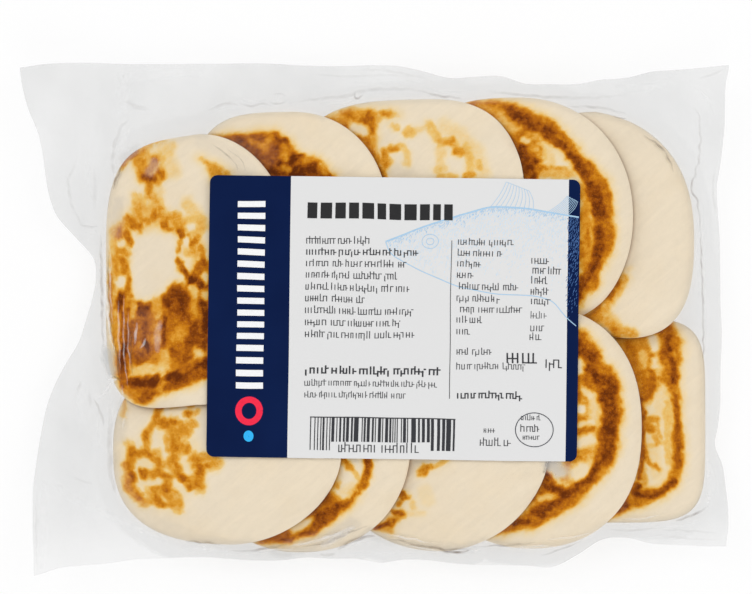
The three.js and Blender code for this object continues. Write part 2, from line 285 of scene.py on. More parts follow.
# distance outside the nearest cake's outline; negative over a cake
def outsideCakes(x, y):
    return -np.max([placeInCake(cake, x, y)[1] for cake in cakes.values()], axis=0)


# distance from points to a polyline given as x1, y1, x2, y2, ...
def distanceToLine(x, y, line):
    points = np.array(line, float).reshape(-1, 2)
    best = np.full(x.shape, 1e3)
    for (ax, ay), (bx, by) in zip(points[:-1], points[1:]):
        dx, dy = bx - ax, by - ay
        t = np.clip(((x - ax) * dx + (y - ay) * dy) / max(dx * dx + dy * dy, 1e-9), 0, 1)
        best = np.minimum(best, np.hypot(x - ax - t * dx, y - ay - t * dy))
    return best


# a sum of sines with seeded directions and phases, mostly between -1 and 1, for wavelengths round the
# given one
def ripples(x, y, wavelength, seed, count=9):
    rng = np.random.default_rng(seed)
    total = 0
    for _ in range(count):
        angle, phase = rng.uniform(0, math.pi), rng.uniform(0, 2 * math.pi)
        size = wavelength * rng.uniform(0.7, 1.4)
        total = total + np.sin((x * math.cos(angle) + y * math.sin(angle)) * 2 * math.pi / size + phase)
    return total / math.sqrt(count) / 1.6


# several ripples together, each given as (height, wavelength, seed)
def rippled(x, y, waves):
    return sum(height * ripples(x, y, wavelength, seed) for height, wavelength, seed in waves)


# points in millimetres and faces by their numbers become a mesh; fields are values per point
def looseMesh(name, points, faces, material, fields=None, uv=None, smooth=True):
    mesh = bpy.data.meshes.new(name)
    mesh.from_pydata((np.asarray(points) / 1000).tolist(), [], faces)
    for key, values in (fields or {}).items():
        attribute = mesh.attributes.new(key, "FLOAT", "POINT")
        attribute.data.foreach_set("value", np.asarray(values, np.float32).ravel())
    if uv is not None:
        corners = np.zeros(len(mesh.loops), np.int32)
        mesh.loops.foreach_get("vertex_index", corners)
        spots = np.asarray(uv, np.float32).reshape(-1, 2)[corners]
        mesh.uv_layers.new(name="UVMap").data.foreach_set("uv", spots.ravel())
    mesh.polygons.foreach_set("use_smooth", np.full(len(mesh.polygons), smooth))
    mesh.materials.append(material)
    mesh.update()
    piece = bpy.data.objects.new(name, mesh)
    bpy.context.scene.collection.objects.link(piece)
    return piece


# the four-cornered faces between the rows and columns of a grid of point numbers
def gridFaces(index):
    corners = [index[:-1, :-1], index[:-1, 1:], index[1:, 1:], index[1:, :-1]]
    return np.stack(corners, axis=-1).reshape(-1, 4).tolist()


# a grid of points (rows, columns, 3) becomes a mesh; wrap joins the last column to the first, and poles
# close the first and last rows with one point each
def gridMesh(name, points, material, wrap=False, poles=None, **settings):
    rows, columns = points.shape[:2]
    index = np.arange(rows * columns).reshape(rows, columns)
    if wrap:
        index = np.concatenate([index, index[:, :1]], axis=1)
    faces, points = gridFaces(index), points.reshape(-1, 3)
    if poles is not None:
        first, last = len(points), len(points) + 1
        points = np.concatenate([points, np.asarray(poles, float)])
        faces += [[first, b, a] for a, b in zip(index[0, :-1].tolist(), index[0, 1:].tolist())]
        faces += [[last, a, b] for a, b in zip(index[-1, :-1].tolist(), index[-1, 1:].tolist())]
    return looseMesh(name, points, faces, material, **settings)


def place(piece, slot, *nodes):
    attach(piece, "root")
    if nodes:
        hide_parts(*nodes)


# nodes for the materials

# a number or a colour is set on an input, and another node's output is linked to it
def feed(tree, socket, value):
    if isinstance(value, bpy.types.NodeSocket):
        tree.links.new(value, socket)
    elif socket.type == "RGBA" and len(value) == 3:
        socket.default_value = (*value, 1)
    else:
        socket.default_value = value


def feedAll(tree, node, values):
    for name, value in values.items():
        feed(tree, node.inputs[name], value)


def newNode(tree, kind, **settings):
    node = tree.nodes.new(kind)
    for key, value in settings.items():
        if key in node.inputs:
            feed(tree, node.inputs[key], value)
        else:
            setattr(node, key, value)
    return node


def newMaterial(name):
    material = bpy.data.materials.new(name)
    material.use_nodes = True
    tree = material.node_tree
    return material, tree, tree.nodes["Principled BSDF"], tree.nodes["Material Output"]


def mathNode(tree, operation, a, b=0.0, clamp=False):
    node = newNode(tree, "ShaderNodeMath", operation=operation, use_clamp=clamp)
    feedAll(tree, node, {0: a, 1: b})
    return node.outputs[0]


def mixColour(tree, factor, a, b, blend="MIX"):
    node = newNode(tree, "ShaderNodeMix", data_type="RGBA", blend_type=blend)
    feedAll(tree, node, {0: factor, 6: a, 7: b})
    return node.outputs[2]


def noiseNode(tree, vector, **settings):
    return newNode(tree, "ShaderNodeTexNoise", Vector=vector, **settings).outputs["Fac"]


# the value runs from low to high while it is between the two ends
def rangeNode(tree, value, ends, low, high, **settings):
    node = newNode(tree, "ShaderNodeMapRange", **settings)
    feedAll(tree, node, {"Value": value, "From Min": ends[0], "From Max": ends[1],
                         "To Min": low, "To Max": high})
    return node.outputs["Result"]


def bumpNode(tree, height, strength, distance):
    node = newNode(tree, "ShaderNodeBump", Strength=strength, Distance=distance, Height=height)
    return node.outputs["Normal"]


def attributeNode(tree, name):
    return newNode(tree, "ShaderNodeAttribute", attribute_name=name).outputs["Fac"]


# the shader covers this share of a piece, and the rest is clear
def coverPart(tree, shader, out, share, clear=(1, 1, 1)):
    behind = newNode(tree, "ShaderNodeBsdfTransparent", Color=clear)
    mix = newNode(tree, "ShaderNodeMixShader", Fac=share)
    feedAll(tree, mix, {1: behind.outputs["BSDF"], 2: shader.outputs["BSDF"]})
    tree.links.new(mix.outputs["Shader"], out.inputs["Surface"])


# a colour of 0 to 255 a channel, as the linear light that the shaders read
def linear(r, g, b):
    return tuple((c / 255 / 12.92) if c <= 10 else ((c / 255 + 0.055) / 1.055) ** 2.4 for c in (r, g, b))


# a group of noise at three scales, each centred on zero: patches, mottle and grain
def mottleGroup():
    tree = bpy.data.node_groups.new("mottle", "ShaderNodeTree")
    tree.interface.new_socket("Vector", in_out="INPUT", socket_type="NodeSocketVector")
    scales = (("Patch size", "Patches", 0.006, 3), ("Mottle size", "Mottle", 0.0016, 3),
              ("Grain size", "Grain", 0.0004, 2))
    for size, out, usual, detail in scales:
        socket = tree.interface.new_socket(size, in_out="INPUT", socket_type="NodeSocketFloat")
        socket.default_value = usual
        tree.interface.new_socket(out, in_out="OUTPUT", socket_type="NodeSocketFloat")
    start, end = tree.nodes.new("NodeGroupInput"), tree.nodes.new("NodeGroupOutput")
    for size, out, usual, detail in scales:
        scale = mathNode(tree, "DIVIDE", 1.0, start.outputs[size])
        noise = noiseNode(tree, start.outputs["Vector"], Scale=scale, Detail=detail, Roughness=0.55)
        tree.links.new(mathNode(tree, "SUBTRACT", noise, 0.5), end.inputs[out])
    return tree


mottle = mottleGroup()

# the cakes

fried = {
    # how brown, from untouched to dark
    "steps": [(0.0, (238, 223, 198)), (0.1, (240, 218, 176)), (0.25, (238, 196, 112)),
              (0.42, (226, 158, 48)), (0.56, (204, 126, 16)), (0.68, (178, 100, 14)), (0.8, (146, 74, 8)),
              (0.93, (104, 46, 4))],
    "darkest": 1.1,
    "patchSize": 0.0042, "mottleSize": 0.0016, "grainSize": 0.0005,
    "patch": 0.55, "mottle": 0.9, "grain": 0.45,
    # how strongly the noise shows: a base and its growth with the heat, and how soon both set in
    "noiseBase": 0.3, "noiseGrowth": 0.4, "noiseOnset": 2.5,
    # the untouched crumb wanders from neutral to this tint, at most half of it
    "tint": (1.0, 0.955, 0.87), "tintScale": 38, "tintEnds": (0.45, 0.75), "tintMost": 0.5,
    "pores": (0.985, 1.01), "poreEnds": (-0.22, 0.22),
    "fibres": (0.97, 1.02), "fibreEnds": (0.3, 0.7), "fibreTurn": 0.7, "fibreSize": (0.012, 0.0022, 0.012),
    # the painted shade line where another cake lies on this one: how strong it is, and its colour
    "contactShade": 0.55, "contactShadeColour": (120, 76, 44),
    "roughness": 0.45, "specular": 0.06, "bump": 0.3, "bumpHeight": 0.0006, "bumpMottle": 0.35,
}


def cakeMaterial():
    material, tree, shader, out = newMaterial("fish_cake")
    where = newNode(tree, "ShaderNodeTexCoord").outputs["Object"]
    noise = newNode(tree, "ShaderNodeGroup")
    noise.node_tree = mottle
    feedAll(tree, noise, {"Vector": where, "Patch size": fried["patchSize"],
                          "Mottle size": fried["mottleSize"], "Grain size": fried["grainSize"]})
    patches, spots, grain = (noise.outputs[name] for name in ("Patches", "Mottle", "Grain"))
    heat = attributeNode(tree, "brown")
    # brown = heat + (base + growth * heat) * min(1, onset * heat) * (patches + mottle + grain), all of it
    # divided by the darkest heat
    fine = mathNode(tree, "ADD", mathNode(tree, "MULTIPLY", spots, fried["mottle"]),
                    mathNode(tree, "MULTIPLY", grain, fried["grain"]))
    fine = mathNode(tree, "ADD", fine, mathNode(tree, "MULTIPLY", patches, fried["patch"]))
    onset = mathNode(tree, "MULTIPLY", heat, fried["noiseOnset"], clamp=True)
    growth = mathNode(tree, "MULTIPLY", heat, fried["noiseGrowth"])
    share = mathNode(tree, "MULTIPLY", onset, mathNode(tree, "ADD", growth, fried["noiseBase"]))
    varied = mathNode(tree, "ADD", heat, mathNode(tree, "MULTIPLY", share, fine))
    brown = mathNode(tree, "DIVIDE", varied, fried["darkest"], clamp=True)
    ramp = newNode(tree, "ShaderNodeValToRGB", Fac=brown)
    steps = ramp.color_ramp.elements
    for k, (at, colour) in enumerate(fried["steps"]):
        step = steps[k] if k < 2 else steps.new(at)
        step.position = at
        step.color = (*linear(*colour), 1)
    drift = noiseNode(tree, where, Scale=fried["tintScale"], Detail=4, Roughness=0.6)
    tint = rangeNode(tree, drift, fried["tintEnds"], 0, fried["tintMost"])
    cream = mixColour(tree, tint, (1.0, 1.0, 1.0), fried["tint"])
    colour = mixColour(tree, 1.0, ramp.outputs["Color"], cream, "MULTIPLY")
    # pores and short fibres, then the painted shade line where another cake lies on this one
    pores = rangeNode(tree, spots, fried["poreEnds"], *fried["pores"])
    colour = mixColour(tree, 1.0, colour, pores, "MULTIPLY")
    turned = newNode(tree, "ShaderNodeMapping", vector_type="TEXTURE", Vector=where,
                     Rotation=(0, 0, fried["fibreTurn"]), Scale=fried["fibreSize"])
    threads = noiseNode(tree, turned.outputs["Vector"], Scale=1, Detail=3, Roughness=0.55, Distortion=0.8)
    fibres = rangeNode(tree, threads, fried["fibreEnds"], *fried["fibres"])
    colour = mixColour(tree, 1.0, colour, fibres, "MULTIPLY")
    contactShade = mathNode(tree, "MULTIPLY", attributeNode(tree, "contactShade"), fried["contactShade"])
    colour = mixColour(tree, contactShade, colour, linear(*fried["contactShadeColour"]))
    relief = mathNode(tree, "ADD", patches, mathNode(tree, "MULTIPLY", spots, fried["bumpMottle"]))
    feedAll(tree, shader, {"Base Color": colour, "Roughness": fried["roughness"],
                           "Specular IOR Level": fried["specular"],
                           "Normal": bumpNode(tree, relief, fried["bump"], fried["bumpHeight"])})
    return material


# marks of browning, in the order of painting: (width, heat, x1, y1, x2, y2, ...) is a streak, and width 0
# fills the outline; heat 0.3 is light golden and 1 is dark brown, and a negative heat takes that share away
browning = {
    "upper1": [
        # washes
        (0, .46, -90.4, 54, -88.5, 57, -86.4, 59.6, -82.5, 59.5, -79.5, 62.5, -75, 64, -73.5, 61.5,
         -77.5, 60.5, -80, 58.5, -81.5, 54, -84, 54.5, -86, 56),
        (0, .5, -61.4, 55.5, -58.4, 53.3, -57, 48, -49, 48, -50.5, 50.7, -54.9, 53.3, -59.2, 55.5),
        (2, .62, -88.6, 53.6, -87, 56.4, -83.6, 58.2), (5, .18, -75, 60, -72, 55, -70, 51),
        (3, .3, -84, 57, -82, 55, -81.5, 51), (3, .22, -71, 60, -72, 58),
        (7, .34, -84, 34, -81, 37, -76, 36, -72, 33, -67, 31), (5.5, .36, -89, 30, -88.5, 24, -88.5, 18),
        (7, .3, -65, 31, -63, 26, -61, 21), (3.5, .34, -91, 30, -91, 15),
        (0, .36, -85, 57.6, -80, 60.6, -75, 60, -73, 55, -73.4, 50, -76, 47.2, -80, 46.8, -83, 49.6,
         -84.6, 54),
        (4, .22, -65, 39, -62, 36, -59, 32), (3, .15, -65, 41, -65, 38), (4, .3, -76, 41, -75.5, 36),
        (3, .2, -75, 46, -75, 41), (14, .55, -80, -1, -73, 0, -66, 2, -60, 1),
        (10, .56, -79, -8, -70, -9, -60, -7), (6, .56, -80, -13, -70, -14, -66, -15),
        (5, .5, -84, 2, -83.5, -12),
        # the spot at the top and the stroke below it
        (2.4, .45, -77, 56.5, -76.5, 54), (4, .5, -81.5, 53.5, -81, 50, -79, 48.3, -76, 48.3, -74.6, 50),
        (1.6, .85, -80.5, 49.5, -78.5, 48.2, -77, 48.6), (3, .58, -79, 51.5, -76.6, 54.5),
        (2.6, .5, -75, 50.8, -73.3, 49.5), (2.4, -.6, -77.6, 58.4, -76.6, 59),
        (1.2, .56, -75.5, 50.5, -73.5, 50), (2.6, .52, -79, 47.5, -78.7, 45, -78.8, 42.5),
        (3, .34, -78, 43, -76, 41, -75, 38.5), (2.2, .28, -84, 43, -81, 41.5, -80.5, 38),
        # left of the oval
        (4.6, .38, -82.5, 39, -83, 36, -83, 32), (2.6, .68, -84, 32, -82.3, 31.5),
        (1.6, .55, -86.5, 35, -84.5, 34), (2.6, .45, -88.5, 32.5, -84, 33),
        (2.4, .62, -89.5, 30.5, -89, 28), (2, .68, -86.5, 30, -86, 27.5, -85.6, 26),
        (2.6, .52, -88.5, 23.8, -86.5, 22.5), (1.4, .5, -89.8, 25, -90, 20),
        (2.2, .6, -88, 20, -87.3, 17.5, -86.4, 14, -86, 10, -85.6, 8), (1.5, .42, -90, 16.5, -88.5, 15.2),
        (1.3, .4, -91, 21, -90.5, 15),
        # above and right of the oval
        (1.8, .5, -81, 34, -79, 33.5, -77.5, 34.5), (1.4, .6, -77, 37, -77, 34),
        (1.8, .5, -76, 35.3, -73.5, 35.2), (3, .42, -74.5, 37.5, -72.2, 34.5, -72.5, 32),
        (2.4, .66, -73.6, 32.4, -72.4, 32.6), (3.5, .22, -79, 31.3, -76, 30.8),
        (3, .45, -71, 35, -69, 35, -68.3, 33, -67.3, 30), (1.6, .8, -67.5, 30, -66.6, 28),
        (1.2, .55, -67, 27.5, -67.6, 25, -68.2, 23), (1.2, .55, -72, 31.5, -70, 31),
        (3, .32, -66, 33.5, -62, 34), (3, .32, -61.3, 29, -60.3, 31, -60, 34),
        (1.6, .66, -63.2, 26.2, -62, 27), (1.2, .5, -64.6, 28.3, -63.2, 25.5),
        (2, .42, -63, 23.6, -61, 28), (3, .32, -64.5, 22.5, -60, 22), (1.6, .55, -60.3, 24, -58.6, 20.5),
        (2.4, .72, -58.6, 19.6, -60.5, 18, -61.6, 16, -62.4, 13.5), (1.6, .55, -68.3, 17.3, -66, 16),
        (2.2, .68, -65.8, 16, -64.5, 14.3, -63.4, 12.4), (2.4, .72, -63, 13, -61, 11.5, -57.5, 11.6),
        (1.6, .42, -60, 16, -58, 18),
        # the brown lower half
        (0, .6, -91, 8, -86, 7, -82, 6, -79, 6.6, -76, 7.2, -72, 10, -69.5, 12, -66, 12.6, -63, 16.5,
         -60.5, 20, -55, 21, -54, -13, -60, -14, -66, -18, -72, -20, -76, -19, -84, -20, -91, -20),
        (3, .84, -81.5, 5, -81, 1.5, -79, 4), (5, .86, -72, 6, -70, 9, -67.3, 8, -66, 5),
        (4.4, .76, -70, 4, -67, 1.5, -65, 1, -63, -1), (3.4, .92, -59.6, 5, -58, 1, -59, -2),
        (4.4, .8, -62.5, -4, -61.5, -8, -64, -8), (2.4, .8, -58.4, -3, -59, -10),
        (2.2, .78, -80, -2, -80.5, -8, -79, -9.4), (2, .74, -84.6, -2, -84.6, -9),
        (1.4, .88, -72.5, 0, -73.8, -4, -73.5, -10), (1.6, .88, -79.4, -8.6, -78.4, -12.6),
        (3.4, .7, -84, -12.5, -81, -14, -83.4, -15.6), (3, .7, -70, -12, -66.5, -14, -62, -11),
        (1.6, .7, -68, 20, -66, 16.5, -64, 14, -62.6, 12), (2, .82, -63.4, 14, -61.8, 11, -60, 12),
        # pale islands
        (2.4, -.9, -63.7, 31.4, -63.5, 31.6), (1.8, -.8, -65.4, 26.6, -65.3, 26.3),
        (2, -.75, -88.7, 26.1, -88.5, 25.8), (2.2, -.85, -88.4, 13.6, -88.4, 11.6),
        (1.8, -.7, -58.7, 14.6, -58.8, 13.4), (2.4, -.6, -63, 10.3, -62.7, 9),
        (1.5, -.6, -58.6, 8.4, -58.6, 7), (2, -.3, -62.6, 5, -62.5, .5),
        (2.4, -.6, -61.8, -11.8, -60.6, -11.6), (3.4, -.25, -69, -6.5, -67, -5),
        (3, -.5, -73.5, -12, -72.5, -16), (3, -.55, -83, -18, -78, -17.6, -74, -18),
        (2.4, -.4, -76.4, 3, -75, 4.4, -75.6, 1), (2, -.4, -84, 4, -84.6, 1),
        (2.4, -.25, -75.5, -3, -76, -8), (2, -.3, -66, -18, -60, -13.4),
        (9, -1, -77, 25, -76.5, 20, -76, 15), (7, -1, -79.5, 13, -79, 10),
        (3.4, -.9, -71.5, 22, -71.5, 17), (2.5, -.8, -71, 28, -70.5, 24),
        # left column and lower band
        (0, .8, -90.4, 10, -88, 11, -86.4, 9, -86.2, 0, -85.6, -12, -85.4, -20, -80, -19.2, -76, -19.4,
         -73, -20, -70, -18.4, -66, -16, -62, -14, -54, -12, -54, -18.5, -62, -22.4, -66, -24, -72, -25.5,
         -75, -26.6, -77, -29, -81, -30, -84, -28.5, -87, -26, -89.4, -24, -89.8, -10),
        (1.3, .94, -88.8, 8, -88.2, -6, -88, -18), (1, .94, -86.6, 3, -86.4, -12),
        (1, -.4, -89.4, 2, -89, -10), (1, -.3, -87.3, 6, -87.2, -8), (1.6, .5, -92.5, 15, -92, 0, -91, -8),
        (3, .94, -84, -22, -79, -22.6, -76, -22), (1.4, .94, -75.4, -21, -74.8, -19.4),
        (3.2, .94, -71, -20.4, -67, -19.4, -63.5, -17, -60, -15.6, -55, -14.4),
        (1.6, -.35, -74.4, -24, -73, -22.4), (2, -.25, -86, -25, -83, -27),
    ],
    "upper2": [
        # the dark fill along upper1's edge is partly browning and partly painted shadow cast by upper1
        (0, .86, -62, 63.4, -55, 63.5, -45, 64.2, -40, 64.6, -35, 64.8, -31.5, 62.8, -29.3, 61, -28, 58.5,
         -26.5, 56.6, -24, 56, -21.5, 56, -19, 54.5, -16.5, 52.3, -14.2, 49.5, -13, 44, -40, 44, -50, 52),
        (1.6, .6, -63, 62.6, -54, 61.6, -50, 60), (1.7, .84, -34.2, 59.3, -33, 58),
        (1.3, .86, -31, 62, -30.5, 61), (2.4, .86, -32.8, 53.5, -29, 53.8),
        (3.7, .86, -28, 50.6, -24, 51.5), (1.7, .86, -28.5, 55.3, -25, 55.8),
        (1.7, .82, -21.5, 52.7, -20.6, 50.5), (2.2, .82, -36, 51, -34, 50),
        (3, -.3, -31, 58.8, -31.2, 56.4), (2, -.35, -24, 54.8, -21, 55.2),
        (2, -.35, -18.6, 52.4, -17.4, 50.8), (1.4, -.35, -31.4, 52.3, -30, 51), (3, -.3, -38, 59, -37, 62),
        (1.6, -.3, -43, 61.6, -40, 60),
    ],
    "upper3": [
        (0, .46, -21, 71.5, -14, 72.4, -8, 73.8, -3, 73.4, 1, 72.2, 4, 72.8, 6.5, 71.6, 8.4, 70.4, 5, 69.6,
         2.4, 69.2, 1.2, 67.6, .8, 64, .6, 60, 0, 56, -4, 56, -10, 62, -20, 68),
        (2.6, .68, -2, 70.6, -2.6, 68.6, -1.6, 66.6, -1.4, 64.8), (1.8, .66, -4.4, 68.8, -3, 69.4),
        (1.8, .57, 2.8, 71.6, 4.6, 71.2), (1.4, .56, -12, 72, -9, 71), (1.2, .55, -8.5, 72.4, -7.5, 70),
        (1.4, .6, -11, 67.2, -8.4, 65.4), (1.8, .64, -5.6, 63.4, -3, 62.4),
        (2.2, .52, -2.4, 60.4, -1, 57, .6, 54), (1.6, .76, 1.2, 52, 2.4, 47.6),
        (2.8, .57, 3, 57.4, 3.4, 54.6, 3.8, 53.2), (1.5, .53, 3, 52, 2.8, 47), (1.8, .35, 5, 55, 5.4, 54),
        (2.2, .53, 6, 58.8, 6.8, 58.6), (1.8, .33, 4.4, 58, 8.4, 59.6),
        (2.4, .24, 9.4, 59.4, 11.2, 56.4, 11, 54), (1.8, .3, 6.6, 66.6, 7, 66),
        (3, .35, 11.6, 64.2, 12.2, 64.6), (1.4, .2, 10, 64.4, 14, 65, 18, 66.2),
        (2.8, .33, 18.6, 67, 20.4, 64.6, 21.6, 62), (2.5, .39, 23, 60.6, 26.6, 61.2, 28, 58.6, 30.4, 57.4),
        (3.2, .53, 28, 57.8, 29, 57.4), (1.8, .43, 25.4, 60.8, 26.8, 61.2), (3, .2, 23, 59, 22.6, 52),
        (2.6, .3, 31.4, 59, 32.8, 55, 32.6, 48), (5, .16, 24, 66, 30, 62.6, 35, 57, 37, 50),
        (2, .35, 35.6, 54, 36, 52.4), (2.2, .27, 21.4, 51, 23.8, 51.6), (2, .43, 31, 49, 34, 49.2),
        (2, .33, 22, 48.6, 27, 49), (2.8, -.85, -7.4, 66.2, -4.2, 65.4), (2, -.3, -17, 71, -13, 71.4),
    ],
    "upper4": [
        (0, .70, 31, 75.1, 35.5, 76, 40.4, 76.4, 45.3, 76, 49.2, 74.7, 52.2, 73.1, 56.1, 71.5, 59.1, 69.9,
         62.1, 68.2, 65, 65.2, 68, 61.8, 70.4, 58.3, 72.4, 55.6, 74.9, 53.8, 76.8, 51.8, 78.8, 49.4,
         80.8, 46.5, 82, 42.4, 82, 38.4, 82.1, 34.5, 82.9, 30.5, 82.5, 26.6, 81.8, 22.7, 79.8, 19.7,
         78.3, 15.8, 77.2, 11.8, 76.2, 9.8, 73.5, 8.5, 71.9, 4.9, 69.9, 2.4, 65, -3, 61.1, 7.9, 69, 12.8,
         71.4, 13.3, 73.4, 16.7, 74.3, 21.7, 74.9, 26.6, 74.9, 31.5, 74.4, 35.5, 74.1, 40.4, 73.4, 44.3,
         71.4, 48.3, 69, 51.2, 67.5, 53.7, 65.5, 56.1, 63, 58.6, 60.1, 60.6, 57.6, 61.1, 58.1, 56.1,
         57.6, 53.2, 59.1, 52.4, 61.1, 51.9, 57.1, 50.2, 56.1, 47.3, 50.2, 41.4, 43.3, 47.3, 43.3, 59.1,
         35.5, 69),
        (4.5, .84, 47.3, 71.9, 51.2, 69, 54.2, 67, 57.1, 66, 60.1, 64), (2.6, .84, 62.4, 61.1, 65, 59.1),
        (3, .84, 67.5, 56.6, 69, 54.7, 71.9, 50.2, 73.9, 46.3),
        (5, .84, 74.9, 44.3, 76.8, 39.4, 77.8, 35.5),
        (3.4, .84, 77.4, 30.5, 77.4, 25.6, 76.4, 21.7, 74.5, 16.7, 72.5, 13.8, 70.9, 10.8),
        (1.8, .85, 70.5, 7.9, 70.9, 6.3), (3.8, .84, 51.2, 59.1, 51.2, 56.1, 52.2, 52.2, 54.2, 49.6),
        (1.9, .84, 53.8, 52.2, 56.1, 54.4), (1.6, .84, 49.2, 49.2, 49.8, 45.3),
        (1.4, -.7, 51.2, 62.1, 52.8, 61.1), (3.2, -.5, 42.9, 68.4, 48.3, 66),
        (2.2, -.35, 53.2, 63, 57.1, 61.5, 55.2, 59.1), (1.6, -.3, 55.9, 57.7, 56.7, 55.6),
        (2.4, -.3, 37.4, 73.5, 42.4, 71.9), (2, -.3, 44.3, 70.9, 46.3, 69.3),
        (2.6, .38, 58.1, 49.8, 65, 49.6, 68, 50.2), (1.2, .4, 61.1, 52.1, 65.4, 51.2),
        (3, .2, 59.1, 57.7, 61.1, 54.2), (4, .5, 71.5, 45.3, 73.4, 37.4), (2, .52, 72.3, 37.4, 70.9, 34.5),
        (4.4, .54, 72.3, 33.5, 72.9, 25.6, 72.9, 17.7), (1.4, .62, 71.1, 25.6, 71.1, 21.7),
        (1, .56, 73.3, 30.5, 73.5, 25.6),
    ],
    "upper5": [
        (4.6, .46, 86, 13.4, 83, 10, 81, 7, 79, 3.6, 77, 1, 73, 0), (1.8, .72, 82.6, 9.6, 81.2, 7.4),
        (2.2, .62, 77.6, 3.6, 75, .8), (3.4, .42, 77, 0, 81, -1.6, 85, -4.2, 89, -5.8),
        (2, .62, 82.6, -4, 84.4, -6.4), (3, .26, 80.4, 2, 83, -1.4), (2, .14, 84, 14, 88, 17),
        (1.6, .6, 85, 12.6, 84.2, 11.2),
    ],
    "lower1": [
        (14, .12, -82, -50, -76, -57, -72, -60), (12, .12, -70, -40, -64, -50),
        (2.3, .58, -74.5, -30, -75.5, -33.6), (2.3, .76, -75.6, -29.6, -74, -30.2),
        (2.5, .56, -76.2, -35, -73.6, -35.8),
        (2.2, .50, -77, -36, -78.5, -39, -79.6, -41, -79.3, -44, -79, -46.5),
        (1.3, .60, -79.8, -40.6, -79.5, -42.4),
        (4, .48, -74, -36.6, -71, -37.2, -69.5, -36.2, -68, -37.2, -66, -39, -65, -39.6),
        (1.7, .58, -73.6, -36.8, -72.4, -37.2), (1.7, .58, -70.2, -36, -69.4, -36.2),
        (2.3, .58, -64.8, -33, -64.2, -33.2), (1.6, .38, -65.6, -33, -62, -33, -61.4, -32),
        (2.9, .38, -64, -36.6, -63, -36.4), (2, .38, -64, -29, -63.8, -30),
        (2.5, .38, -66, -38, -63, -36.6), (3.6, .54, -69.5, -40, -69, -44, -69.5, -48.6),
        (3.3, .52, -68.2, -44, -65.6, -45.6), (2.2, .34, -66.6, -42.4, -65, -44),
        (3.4, .44, -70, -49, -71, -50),
        (2.4, .62, -85.2, -45.6, -84.4, -47, -82.5, -47.6, -80.5, -46.6, -79, -47.6),
        (1.8, .3, -86.6, -44, -85, -43.8),
        (3.6, .56, -84.8, -48, -85.5, -50.5, -86, -53, -85, -56, -85.6, -58),
        (2.3, .78, -84.8, -54.6, -84.6, -56), (2.1, .56, -87.2, -51.4, -86.6, -52),
        (3.2, .52, -86, -59, -84, -61.5, -82, -62.8), (2.3, .62, -82.6, -62.2, -81.8, -62.8),
        (2, .3, -87.6, -56, -86.4, -60), (2.5, .54, -81, -53.5, -79.5, -54.5, -77, -54.6, -75, -53.2),
        (2.2, .64, -81, -53.4, -80.4, -55.2), (2.4, .58, -77.6, -48.4, -76, -49.6, -75, -50.2),
        (3.4, .38, -76, -47, -75.4, -52), (2.2, .36, -78.6, -47.6, -76.4, -46.6),
        (3.4, .44, -74.6, -51, -74, -54), (2.9, .60, -73, -54.6, -72, -56, -72.6, -59.2),
        (2.3, .54, -77, -59.6, -74.5, -60, -72, -59.5), (2.9, .44, -78.6, -60, -77, -62, -76.6, -64),
        (2.4, .56, -76, -62.6, -74.6, -65, -73.4, -65.4), (2.9, .48, -72.6, -61, -71, -62.6, -70.6, -64.6),
        (2.9, .44, -70, -60.5, -68.6, -62, -68, -65), (1.4, .3, -69, -66.6, -67.6, -67.2),
        (2.1, .44, -81, -65, -79, -63.6),
        (2.5, .54, -68.5, -51, -68, -54, -66.5, -55.5, -65, -56, -64, -58.5),
        (2.3, .68, -66.8, -55.2, -66, -55.8), (1.8, .56, -64, -58.6, -63.6, -58.8),
        (1.8, .38, -69.6, -53.6, -68.6, -51), (4, .52, -62, -48.6, -61.5, -51, -60.5, -53.5, -61, -57),
        (2.3, .64, -60.6, -51.4, -60.5, -53), (4, .44, -63.4, -56.6, -60.6, -57.6),
        (2, .24, -62, -59.6, -59.4, -59.8), (4.6, .44, -60, -49.6, -57, -50, -54.8, -49.6),
        (2.9, .44, -58, -47.5, -60.6, -48), (1.4, .54, -58, -51, -57.2, -51.2),
        (2, .36, -62.6, -47.4, -64, -48.6), (1, .54, -70.6, -30.5, -66, -29, -62.6, -28.2),
        (1.2, .36, -88.4, -27, -88, -31, -88.6, -34),
        (1.8, .36, -72.6, -50.6, -70.6, -51.6, -69.6, -53.6, -71, -55), (2, .38, -72, -41, -71.8, -46),
    ],
    "lower2": [
        (0, .75, -42, -79, -38, -79.2, -33, -79.2, -29, -78.2, -25, -77.2, -20, -75, -16, -71.7,
         -12, -68.2, -8, -64.2, -5, -60.7, -5.4, -59.8, -7.4, -60.2, -9, -62.5, -11, -64, -13, -63,
         -14.6, -61.6, -15.4, -60, -14.6, -57.6, -13.2, -56, -13, -53, -22, -56, -34, -70),
        (2.4, .46, -15, -58, -13.4, -57.6), (2.2, .46, -15.6, -61, -13, -62.6),
        (2, .72, -17, -61, -18.4, -63.4), (2.2, .70, -20.4, -66.4, -23, -68.4),
        (2.6, .72, -19.5, -69, -16, -67, -13, -65.5, -9.5, -64), (2.5, .72, -20.4, -72.4, -17.5, -70),
        (1.6, .66, -27, -75.9, -23, -75.2), (1.8, .68, -33.4, -77.4, -29.4, -77.6),
        (2.3, .68, -2.8, -48, -2.3, -51, -2.8, -54.5, -3.6, -57, -5.6, -58.6),
        (1.2, .74, -2.5, -49, -2.6, -53), (2.8, -.8, -28.4, -73.2, -24.4, -71.4),
        (1.6, -.5, -23.4, -70.6, -22.6, -70), (1.8, .5, -9.4, -51, -8.4, -51.6),
        (1.4, .42, -11.4, -49.6, -9, -50), (1.2, .7, -11, -48.6, -10.2, -49.4),
        (3, .14, -11.4, -60, -8, -58.4), (2, .25, -7, -60, -5, -59), (1.4, .3, -7.6, -53, -5, -56),
    ],
    "lower3": [
        (1.4, .68, 9.5, -61, 9.7, -63), (1.1, .42, 10.6, -62.6, 11.4, -62.4), (.9, .5, 9, -64, 8.2, -65),
        (1.5, .68, 7, -67.5, 9.2, -67.9), (2.8, .46, 9, -68.4, 7, -70, 5, -71),
